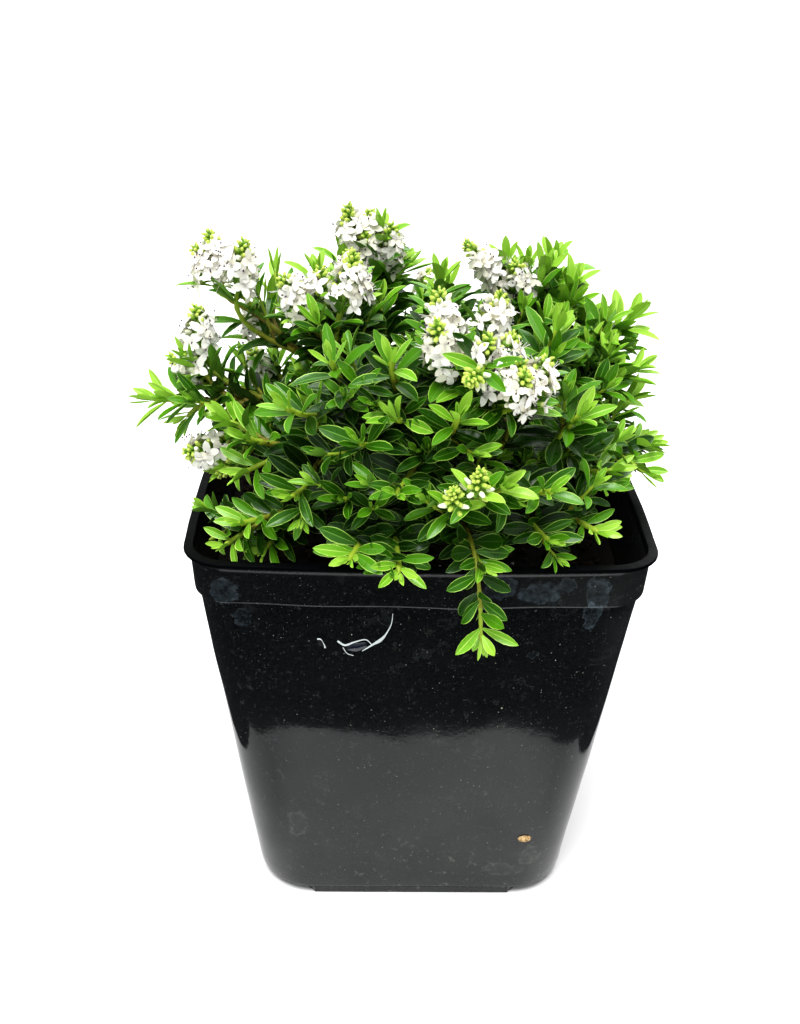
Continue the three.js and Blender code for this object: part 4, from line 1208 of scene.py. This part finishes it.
def add_film(heap, points, widths, kind):
    """A thin closed film along points of the front wall, with a width at each."""
    along = np.gradient(points, axis=0)
    across = np.stack([-along[:, 1], along[:, 0]], axis=1) / np.linalg.norm(along, axis=1)[:, None]
    rings = []
    for p, a, w in zip(points, across, widths):
        low, high = p - a * w / 2, p + a * w / 2
        corners = ((low, -FILM_DEPTH), (high, -FILM_DEPTH), (high, FILM_PROUD), (low, FILM_PROUD))
        rings.append(np.array([on_front_wall(*at, proud) for at, proud in corners]))
    add_rings(heap, rings, kind)


def eased(points, steps=6):
    """The same line with a smooth run of points between each two."""
    points = np.array(points, float)
    ends = np.vstack([2 * points[0] - points[1], points, 2 * points[-1] - points[-2]])
    line = []
    for a, b, c, d in zip(ends, ends[1:], ends[2:], ends[3:]):
        once, twice, thrice = c - a, 2 * a - 5 * b + 4 * c - d, 3 * b - a - 3 * c + d
        line += [0.5 * (2 * b + once * t + twice * t * t + thrice * t ** 3) for t in np.arange(steps) / steps]
    return np.vstack(line + [points[-1]])


marks_heap = Heap()
for points, widths, kind in FILMS:
    line = eased(points)
    add_film(marks_heap, line, np.interp(np.linspace(0, 1, len(line)), *zip(*widths)), kind)

crumb_place = on_front_wall(CRUMB_X, CRUMB_Z, FILM_PROUD)
add_ball(marks_heap, crumb_place, np.array([1.0, 0, 0.1]), CRUMB_LENGTH, CRUMB_WIDTH, CRUMB)
hand_over(marks_heap.make("pot_marks", MARK_SET), "pot")

# ------------------------------------------------------------------ the soil

SOIL_GAP = 0.3
COMPOST, CHIP, PERLITE = range(3)
CHIPS, PERLITE_EVERY, CHIP_REACH, STEM_ROOM = 900, 14, 70, 9
SOIL_SET = [
    skin("compost", (40, 32, 25), 0.95, 0.2, (320.0, 6.0, 0.7), (0.0016, 1.0),
         rough=((0.3, 0.85), (0.8, 1.0)),
         colours=((0.3, (10, 9, 8)), (0.55, (26, 22, 18)), (0.78, (52, 44, 34)))),
    skin("bark_chips", (74, 54, 36), 0.9, 0.2, (500.0, 4.0, 0.6, (1.0, 0.3, 1.0)), (0.0004, 0.8),
         colours=((0.3, (22, 18, 14)), (0.7, (54, 44, 34)))),
    skin("perlite", (206, 200, 188), 0.9, 0.2, (700.0,), (0.0003, 0.8), (1200.0,),
         colours=((0.3, (168, 160, 146)), (0.7, (224, 220, 210)))),
]


def soil_height(x, y):
    """A low heap round the stem, with lumps of three sizes."""
    share = clamp01(math.hypot(x, y) / 74)
    v = Vector((x / 9, y / 9, 0.0))
    return (SOIL_LEVEL + SOIL_HEAP * math.cos(share * math.pi / 2)
            + 1.0 * noise.noise(v) + 0.7 * noise.noise(v * 2.7) + 0.35 * noise.noise(v * 7.0) - 0.4)


def soil_rings():
    low, inset = FOOT_HEIGHT + WALL + SOIL_GAP, WALL + SOIL_GAP
    rings = [wall_ring(low, inset + INNER_EDGE)]
    rings += [wall_ring(z, inset) for z in (low + INNER_EDGE, 70.0, SOIL_LEVEL - 2)]
    edge = wall_ring(SOIL_LEVEL, inset)
    for share in np.linspace(1.0, 0.02, 46):
        rings.append(np.array([(x, y, soil_height(x, y)) for x, y in edge[:, :2] * share]))
    return rings


def add_chip(heap, chance, x, y, pale):
    """A flat chip of bark, or a rounder grain of perlite, half sunk in the soil."""
    size = chance.uniform(1.4, 3.2) if pale else chance.uniform(1.5, 6.0)
    shape = BALL_PLACES * [size / 2, size * chance.uniform(0.2, 0.45), size * chance.uniform(0.12, 0.3)]
    if pale:
        shape = BALL_PLACES * size * 0.42
    shape = shape * np.array([[1 + 0.3 * chance.uniform(-1, 1)] for _ in shape])
    places = shape @ np.array(random_turn(chance)).T
    places[:, :2] += (x, y)
    places[:, 2] += soil_height(x, y) + 0.125 * size
    for faces in (BALL_TRIS, BALL_QUADS):
        heap.add(places, faces, PERLITE if pale else CHIP)


def build_soil():
    heap = Heap()
    add_rings(heap, soil_rings(), COMPOST)
    chance = random.Random(SEED + 500)
    for i in range(CHIPS):
        x, y = chance.uniform(-CHIP_REACH, CHIP_REACH), chance.uniform(-CHIP_REACH, CHIP_REACH)
        if math.hypot(x, y) >= STEM_ROOM and outside_square(np.array([[x, y, 0]]), 72.0, 12.0)[0] <= -2.5:
            add_chip(heap, chance, x, y, i % PERLITE_EVERY == 0)
    hand_over(heap.make("soil_top", SOIL_SET), "soil", "soil")


build_soil()

# ------------------------------------------------------------------ floor, light and camera

FLOOR_TONE = (0.82, 0.82, 0.82, 1)
FLOOR_REACH = 9
# What only reflections see: a dark room past the floor's edge, and a floor that is dimmer at the sides
SIDE_REACH, FRONT_REACH, BACK_REACH, CORNER_REACH = 0.125, 0.141, 0.12, 0.156
ROOM_REACH, ROOM_Z, MIRRORED_Z = 6.0, 0.0006, 0.0003
HORIZON, ZENITH, DOME_STRENGTH = (0.8, 0.8, 0.82, 1), (1, 1, 1, 1), 0.74
FOCAL_PX, PITCH, YAW, ROLL = 1226.3, 26.09, 1.17, -1.10
CAMERA_PLACE, PICTURE_PX, SENSOR = (-14.9, -430.8, 349.8), 1024, 36.0


def square_corners(reach, z):
    return [(x * reach, y * reach, z) for x, y in ((-1, -1), (1, -1), (1, 1), (-1, 1))]


def stage_quads(name, corners, material):
    """Stage furniture of flat quads, four corners to each."""
    mesh = bpy.data.meshes.new(name)
    mesh.from_pydata(corners, [], [tuple(range(i, i + 4)) for i in range(0, len(corners), 4)])
    mesh.materials.append(material)
    obj = bpy.data.objects.new(name, mesh)
    bpy.context.scene.collection.objects.link(obj)
    return obj


def surround_corners(count=96):
    """The dark room's floor as a ring of quads round the lit one."""
    edge = []
    for k in range(count):
        a = TURN * k / count
        c, s = math.cos(a), math.sin(a)
        along_y = (FRONT_REACH if s < 0 else BACK_REACH) / max(abs(s), 1e-6)
        near = min(CORNER_REACH, SIDE_REACH / max(abs(c), 1e-6), along_y)
        edge.append(((near * c, near * s, ROOM_Z), (ROOM_REACH * c, ROOM_REACH * s, ROOM_Z)))
    return [corner for (a, b), (d, c) in zip(edge, edge[1:] + edge[:1]) for corner in (a, b, c, d)]


def build_stage():
    white = Nodes("floor_white", FLOOR_TONE, 0.9, 0.0)
    dark = Nodes("surround_dark", (0.02, 0.021, 0.023, 1), 0.9, 0.0)
    dimmed = Nodes("mirrored_floor", FLOOR_TONE, 0.9, 0.0)
    aside = dimmed.math("MULTIPLY", dimmed.math("ABSOLUTE", dimmed.axis(0)), 7.0)
    dimmed.colour(dimmed.ramp(aside, (0.38, 0.82), (0.52, 0.62)))
    stage_quads("floor", square_corners(FLOOR_REACH, 0), white.material)
    for flag in (stage_quads("surround", surround_corners(), dark.material),
                 stage_quads("mirrored", square_corners(1, MIRRORED_Z), dimmed.material)):
        for kind in ("camera", "diffuse", "shadow", "transmission"):
            setattr(flag, "visible_" + kind, False)


def soft_sun(name, towards, strength, breadth):
    light = bpy.data.lights.new(name, "SUN")
    light.energy, light.angle = strength, math.radians(breadth)
    obj = bpy.data.objects.new(name, light)
    obj.rotation_euler = Vector(towards).to_track_quat("Z", "Y").to_euler()
    bpy.context.scene.collection.objects.link(obj)


def white_world():
    """Plain white where the camera looks past the part, and a soft dome that lights it."""
    world = bpy.data.worlds.new("studio")
    bpy.context.scene.world = world
    world.use_nodes = True
    world.node_tree.nodes.clear()
    kinds = ("TexCoord", "SeparateXYZ", "ValToRGB", "Background", "Background", "LightPath", "MixShader",
             "OutputWorld")
    nodes = [world.node_tree.nodes.new("ShaderNode" + kind) for kind in kinds]
    where, split, ramp, lit, seen, path, mixed, out = nodes
    for element, (place, colour) in zip(ramp.color_ramp.elements, ((0.0, HORIZON), (0.6, ZENITH))):
        element.position, element.color = place, colour
    lit.inputs["Strength"].default_value = DOME_STRENGTH
    seen.inputs["Color"].default_value = ZENITH
    seen.inputs["Strength"].default_value = 1.0
    for output, socket in (
        (where.outputs["Generated"], split.inputs[0]), (split.outputs["Z"], ramp.inputs["Fac"]),
        (ramp.outputs["Color"], lit.inputs["Color"]), (path.outputs["Is Camera Ray"], mixed.inputs["Fac"]),
        (lit.outputs[0], mixed.inputs[1]), (seen.outputs[0], mixed.inputs[2]),
        (mixed.outputs[0], out.inputs["Surface"]),
    ):
        world.node_tree.links.new(output, socket)


def set_camera():
    """The photo's own viewpoint, worked out from the corners of the pot's rim and foot."""
    yaw, pitch, roll = (math.radians(a) for a in (YAW, PITCH, ROLL))
    level = Vector((math.sin(yaw), math.cos(yaw), 0))
    right = Vector((math.cos(yaw), -math.sin(yaw), 0))
    ahead = level * math.cos(pitch) - Vector((0, 0, math.sin(pitch)))
    down = ahead.cross(right)
    turned_right = right * math.cos(roll) + down * math.sin(roll)
    turned_down = down * math.cos(roll) - right * math.sin(roll)
    camera = bpy.data.cameras.new("camera")
    camera.sensor_width, camera.lens = SENSOR, FOCAL_PX / PICTURE_PX * SENSOR
    camera.clip_start = 0.01
    obj = bpy.data.objects.new("camera", camera)
    axes = Matrix((turned_right, -turned_down, -ahead)).transposed()
    obj.matrix_world = Matrix.Translation(Vector(CAMERA_PLACE) * MM) @ axes.to_4x4()
    bpy.context.scene.collection.objects.link(obj)
    bpy.context.scene.camera = obj


build_stage()
soft_sun("key", (-0.2, -0.45, 1.3), 3.4, 35)
soft_sun("rim", (0.5, 0.7, 1.0), 1.3, 60)
white_world()
bpy.context.scene.view_settings.view_transform = "Standard"
bpy.context.scene.view_settings.look = "Medium High Contrast"
set_camera()
